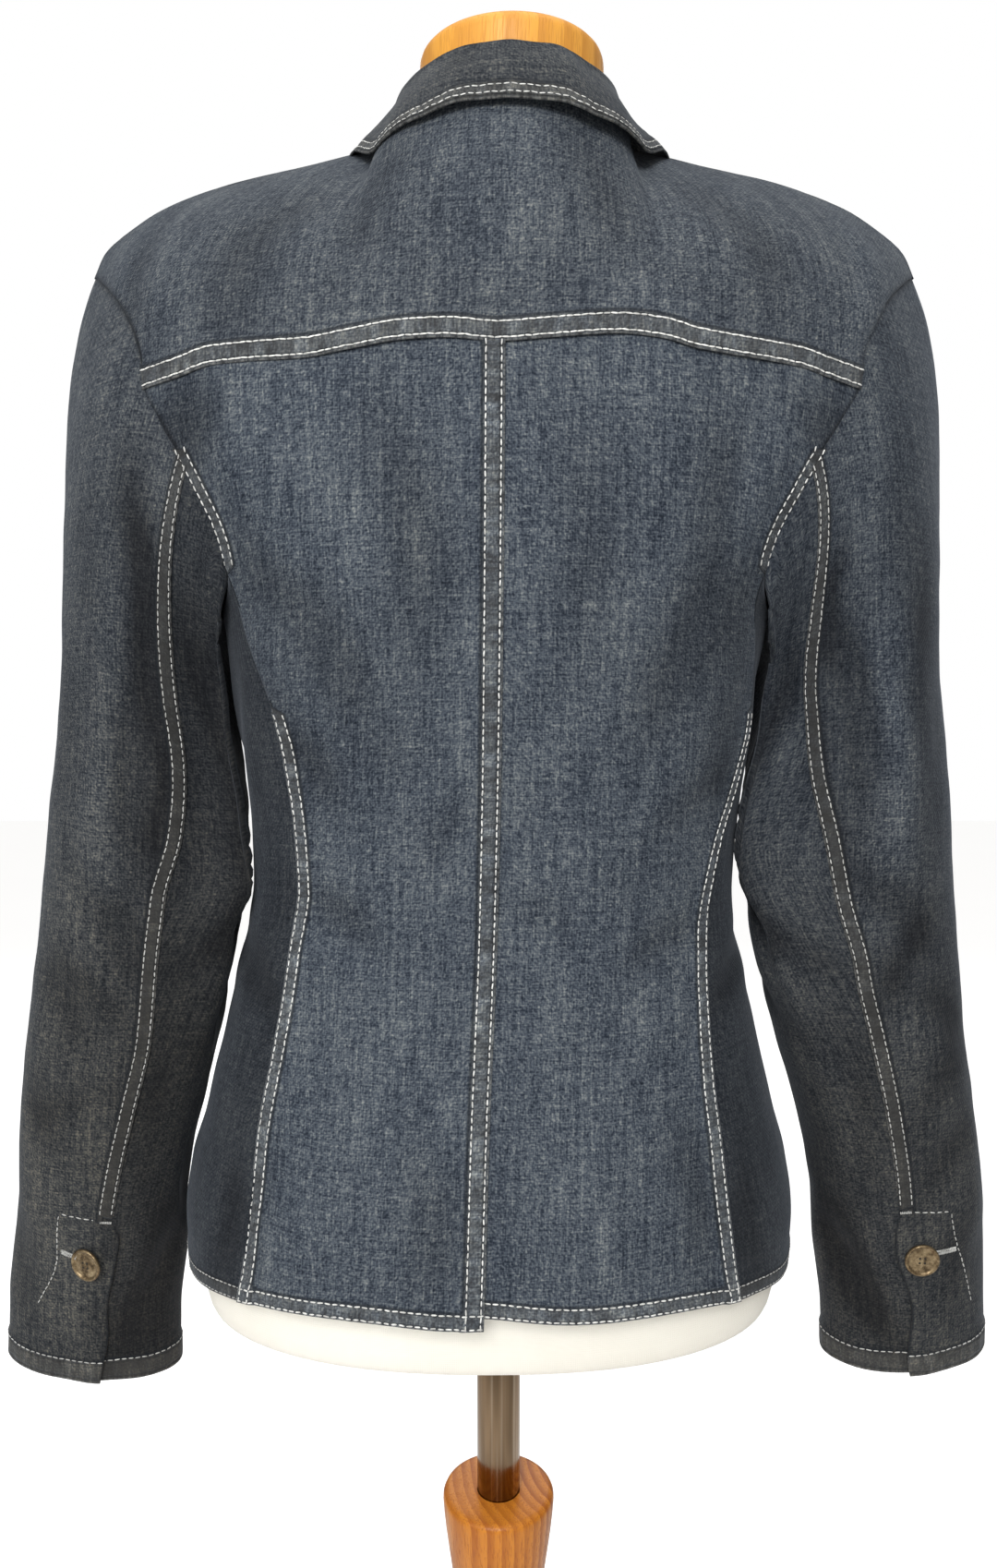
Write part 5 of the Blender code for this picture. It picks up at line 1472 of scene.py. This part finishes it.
def make_button(name, place, facing, node, tilt=(0.0, 0.0, 0.0)):
    """A cast button: raised round rim, dished face and four small holes, shown as dark plugs with painted shadow."""
    matrix = Vector(unit(np.array(facing) + np.array(tilt))).to_track_quat("Z", "Y").to_matrix().to_4x4()
    matrix.translation = Vector(place)
    profile = (
        (0.0, 0.0002), (0.0070, 0.0002), (0.0086, 0.0007), (0.0093, 0.0013), (0.0095, 0.0020),
        (0.0094, 0.0026), (0.0090, 0.0030), (0.0085, 0.0031), (0.0080, 0.0028), (0.0076, 0.0023),
        (0.0072, 0.0021), (0.0058, 0.0022), (0.0035, 0.0024), (0.0, 0.0025),
    )
    turned(name, profile, brass(), "buttons", node, matrix=matrix, steps=56, smooth_angle=60.0)
    bm = bmesh.new()
    for x, y in ((0.0014, 0.0014), (-0.0014, 0.0014), (0.0014, -0.0014), (-0.0014, -0.0014)):
        hole = bmesh.ops.create_cone(
            bm, cap_ends=True, segments=14, radius1=0.00072, radius2=0.00066, depth=0.0004)["verts"]
        bmesh.ops.translate(bm, vec=(x, y, 0.00235), verts=hole)
    bmesh.ops.transform(bm, matrix=matrix, verts=bm.verts)
    piece_of(f"{name}_holes", bm, dark_recess(), "buttons", smooth_angle=40.0)


class BLAZER_OT_buttons(bpy.types.Operator):
    """Makes the brass buttons, the keyhole buttonholes and the bar tacks"""

    bl_idname = "blazer.buttons"
    bl_label = "Buttons and buttonholes"

    def execute(self, context):
        settings = settings_of(context)
        whipped = []        # paths with stitches that lie across them, for whipped edges and bar tacks
        for side, word in SIDES:
            place, facing = sleeve_place(side, *CUFF_BUTTONS[side])
            make_button(f"button_cuff_{word}", place + facing * 0.0016, facing, f"cuff_button_{word}",
                        tilt=CUFF_BUTTON_TILT[side])
            height, top = CUFF_BUTTONS[side][0], VENT_TOP[side]
            start, end, rise = BUTTONHOLES[side]
            for corners, lift, count in (
                *((((height + 0.0015 + shift, start), (height + rise + shift, end)), 0.0007, 24)
                  for shift in (-0.0008, 0.0008)),
                (((height + rise - 0.0014, end - 0.0002), (height + rise + 0.0016, end + 0.0002)), 0.0008, 12),
                (((top, -0.0004), (top + 0.0004, 0.0062)), 0.0010, 24),
            ):
                whipped.append((*cuff_line(side, corners, lift, count), True))
        stitches_piece("buttonholes_and_tacks", whipped, thread_material("buttonhole thread", 0.62),
                       settings.thread_width, 0.00085, 0.0017)
        for word, height in FRONT_BUTTON_HEIGHTS.items():
            angle = front_angle(-1, 0.0, height)
            place = torso_point(angle, height)
            across = torso_point(angle + 0.5, height) - torso_point(angle - 0.5, height)
            up = torso_point(angle, height + 0.002) - torso_point(angle, height - 0.002)
            facing = unit(np.cross(across, up))
            facing = facing if facing @ (place - BODY) > 0 else -facing
            make_button(f"button_front_{word}", place + facing * FRONT_BUTTON_LIFT[word], facing,
                        f"front_button_{word}")
        return {"FINISHED"}


def form_sheet():
    """The padded torso's rings, from its lower edge to the neck, each closed on its first point."""
    low, high = FORM[0, 0], FORM[-1, 0]
    heights = np.unique(np.concatenate((FORM[:, 0], low + (high - low) * np.linspace(0.0, 1.0, 90))))
    centre_x, half_width, back_depth, back_round, front_depth, front_round = follow(FORM, heights).T[..., None]
    angle = np.linspace(0.0, 2 * np.pi, 97)
    behind = np.sin(angle) >= 0
    depth, power = np.where(behind, back_depth, front_depth), 2 / np.where(behind, back_round, front_round)
    return pack(
        centre_x + half_width * signed_power(np.cos(angle), power), depth * signed_power(np.sin(angle), power),
        heights[:, None],
    )


def round_size(node):
    """Radius, lowest and highest point of a round CAD node that stands upright."""
    near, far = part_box(node)
    return (far[0] - near[0]) / 2, near[2], far[2]


class BLAZER_OT_form(bpy.types.Operator):
    """Makes the padded torso with its jersey cover and the wooden neck cap"""

    bl_idname = "blazer.form"
    bl_label = "Dress form"

    def execute(self, context):
        settings = settings_of(context)
        bm, _, _ = sheet_mesh(form_sheet())
        close_up(bm)
        piece_of("form_torso", bm, jersey(settings), "form_jersey", "form_body", smooth_angle=50.0)
        pale = tuple(np.minimum(np.array(settings.wood_early) * (1.35, 1.75, 2.6), 1.0))
        deep = tuple(0.55 * np.array(pale) + 0.45 * np.array(settings.wood_late))
        cap = wood("neck cap wood", pale, deep, 95.0,
                   turn=(0.0, 0.05, 0.0), shift=(-0.05, 0.045, 0.0), roughness=0.40)
        radius, low, high = round_size("neck_cap")
        turned("neck_block", (
            (0.0, low), (radius - 0.0025, low), (radius, low + 0.002), (radius, high - 0.0060),
            (radius - 0.0002, high - 0.0040), (radius - 0.0009, high - 0.0020), (radius - 0.0022, high - 0.0006),
            (radius - 0.0040, high), (radius * 0.6, high), (0.0, high),
        ), cap, "wood", "neck_cap", matrix=Matrix.Translation((*NECK_CAP_CENTRE, 0.0)), steps=settings.turning_steps)
        return {"FINISHED"}


POST = table(MM,
    (0, 26.5), (33, 26.5), (34.6, 30), (35, 36), (33.5, 42.5), (27, 52), (22.2, 65), (19, 80), (17.8, 108),
    (17.5, 140), (18.8, 200), (20.5, 260), (22.9, 325), (25, 390), (26.2, 430), (26.5, 460), (25.8, 490),
    (24, 515), (21.9, 537), (20.6, 555), (20.1, 570), (20.2, 582), (21.1, 600), (22.3, 612), (24, 625),
    (25.8, 638), (27.5, 651), (29.3, 664), (30.9, 676), (32, 686), (32.6, 694), (32.5, 696.2), (31.8, 697.8),
    (30.3, 698.7), (28.5, 699), (12.8, 699), (12.56, 698.7), (12.56, 659), (0, 659))


class BLAZER_OT_stand(bpy.types.Operator):
    """Makes the polished tube, the turned post and the round base"""

    bl_idname = "blazer.stand"
    bl_label = "Stand"

    def execute(self, context):
        settings = settings_of(context)
        steps = settings.turning_steps
        radius, low, high = round_size("pole")
        turned("tube", (
            (0.0, low), (radius - 0.0006, low), (radius, low + 0.0006), (radius, (low + high) / 2),
            (radius, high - 0.0006), (radius - 0.0006, high), (0.0, high),
        ), steel(settings), "pole", "pole", steps=steps, smooth_angle=50.0)
        early, late = settings.wood_early, settings.wood_late
        soft = tuple(0.5 * np.array(early) + 0.5 * np.array(late))
        turned("turned_post", POST, wood(
            "turned post wood", early, late, 170.0, turn=(0.03, -0.04, 0.0), shift=(0.03, 0.02, 0.0),
            roughness=0.30), "wood", "stand_post", steps=steps)
        radius, _, top = round_size("stand_base")
        turned("round_base", (
            (0.0, 0.0), (radius - 0.0035, 0.0), (radius - 0.0012, 0.0008), (radius, 0.0035),
            (radius, top - 0.0095), (radius - 0.0008, top - 0.0060), (radius - 0.0030, top - 0.0028),
            (radius - 0.0070, top - 0.0006), (radius - 0.0105, top), (radius * 0.5, top), (0.0, top),
        ), wood("base wood", early, soft, 42.0, turn=(1.48, 0.07, 0.0), shift=(0.04, 0.13, 0.0), roughness=0.34),
            "wood", "stand_base", steps=steps)
        return {"FINISHED"}


def pale_floor():
    """A matt white floor that stays white to the camera and still takes soft shadows."""
    def dress(n):
        cloud = n.noise(n.place(), 1.6)
        seen = n.put("LightPath").outputs["Is Camera Ray"]
        return {
            "Base Color": n.ramp(cloud, (0.2, (0.90, 0.90, 0.90)), (0.8, (0.92, 0.92, 0.92))), "Roughness": 0.8,
            "Emission Color": (1.0, 1.0, 1.0, 1.0), "Emission Strength": n.times(seen, 0.52),
        }
    return finish("pale floor", dress)


def studio_world():
    """White to look at; as a light, brighter behind the object and above it than at its sides."""
    world = bpy.data.worlds.new("studio")
    world.use_nodes = True
    world.node_tree.nodes.clear()
    n = Nodes(world.node_tree)
    parts = n.split(n.put("TexCoord").outputs["Generated"])
    sideways = n.between(n.math("ABSOLUTE", parts["X"]), 0.25, 0.95)
    strength = n.times_plus(n.between(parts["Z"], 0.0, 0.9), 0.25, n.times_plus(sideways, -0.26, 0.38))
    lit = n.put("Background", {"Color": (1.0, 0.985, 0.96, 1.0), "Strength": strength}).outputs[0]
    white = n.put("Background", {"Color": (1.0, 1.0, 1.0, 1.0), "Strength": 1.0}).outputs[0]
    seen = n.put("LightPath").outputs["Is Camera Ray"]
    n.put("OutputWorld", {"Surface": n.put("MixShader", {0: seen, 1: lit, 2: white}).outputs[0]})
    return world


def soft_light(name, place, target, power, width, height, colour=(1.0, 1.0, 1.0)):
    data = bpy.data.lights.new(name, "AREA")
    data.shape = "RECTANGLE"
    data.size, data.size_y = width, height
    data.energy = power
    data.color = colour
    made = bpy.data.objects.new(name, data)
    made.location = place
    made.rotation_euler = (Vector(target) - Vector(place)).to_track_quat("-Z", "Y").to_euler()
    bpy.context.scene.collection.objects.link(made)
    return made


class BLAZER_OT_stage(bpy.types.Operator):
    """Makes the floor, the white surroundings, the soft lights and the camera"""

    bl_idname = "blazer.stage"
    bl_label = "Stage"

    def execute(self, context):
        scene = context.scene
        bm = bmesh.new()
        bmesh.ops.create_grid(bm, x_segments=1, y_segments=1, size=9.0)
        object_of("floor", bm, pale_floor())
        scene.world = studio_world()
        soft_light("key", (0.30, 2.0, 2.2), (0.0, 0.0, 1.20), 40.0, 0.9, 0.9)
        soft_light("left strip", (1.5, 1.3, 1.3), (0.0, 0.0, 0.9), 5.0, 0.25, 1.8)
        soft_light("crown", (0.0, 0.4, 3.0), (0.0, 0.0, 1.2), 12.0, 1.8, 1.8)
        soft_light("front", (0.0, -3.2, 2.6), (0.0, 0.0, 1.1), 24.0, 2.4, 1.6)

        data = bpy.data.cameras.new("camera")
        data.sensor_fit = "AUTO"
        data.sensor_width = 36.0
        data.lens = 25.78
        data.clip_start, data.clip_end = 0.02, 50.0
        camera = bpy.data.objects.new("camera", data)
        camera.location = (0.0, 0.625, 1.172)
        camera.rotation_euler = np.radians((84.94, 0.0, 180.0))
        scene.collection.objects.link(camera)
        scene.camera = camera
        scene.view_settings.view_transform = "Standard"
        return {"FINISHED"}


class BLAZER_PT_panel(bpy.types.Panel):
    """Lists the sizes, colours and steps of the blazer"""

    bl_idname = "BLAZER_PT_panel"
    bl_label = "Denim blazer"
    bl_space_type = "VIEW_3D"
    bl_region_type = "UI"
    bl_category = "Blazer"

    def draw(self, context):
        for name in BlazerSettings.__annotations__:
            self.layout.prop(settings_of(context), name)
        for step in STEPS:
            self.layout.operator(step.bl_idname, text=step.bl_label)


STEPS = (
    BLAZER_OT_body, BLAZER_OT_sleeves, BLAZER_OT_collar, BLAZER_OT_stitching, BLAZER_OT_buttons,
    BLAZER_OT_form, BLAZER_OT_stand, BLAZER_OT_stage,
)
CLASSES = (BlazerSettings,) + STEPS + (BLAZER_PT_panel,)


def register():
    for one in CLASSES:
        bpy.utils.register_class(one)
    bpy.types.Scene.blazer = bpy.props.PointerProperty(type=BlazerSettings)


def unregister():
    del bpy.types.Scene.blazer
    for one in reversed(CLASSES):
        bpy.utils.unregister_class(one)


def main():
    register()
    for step in STEPS:
        family, name = step.bl_idname.split(".")
        getattr(getattr(bpy.ops, family), name)()


if __name__ == "__main__":
    main()
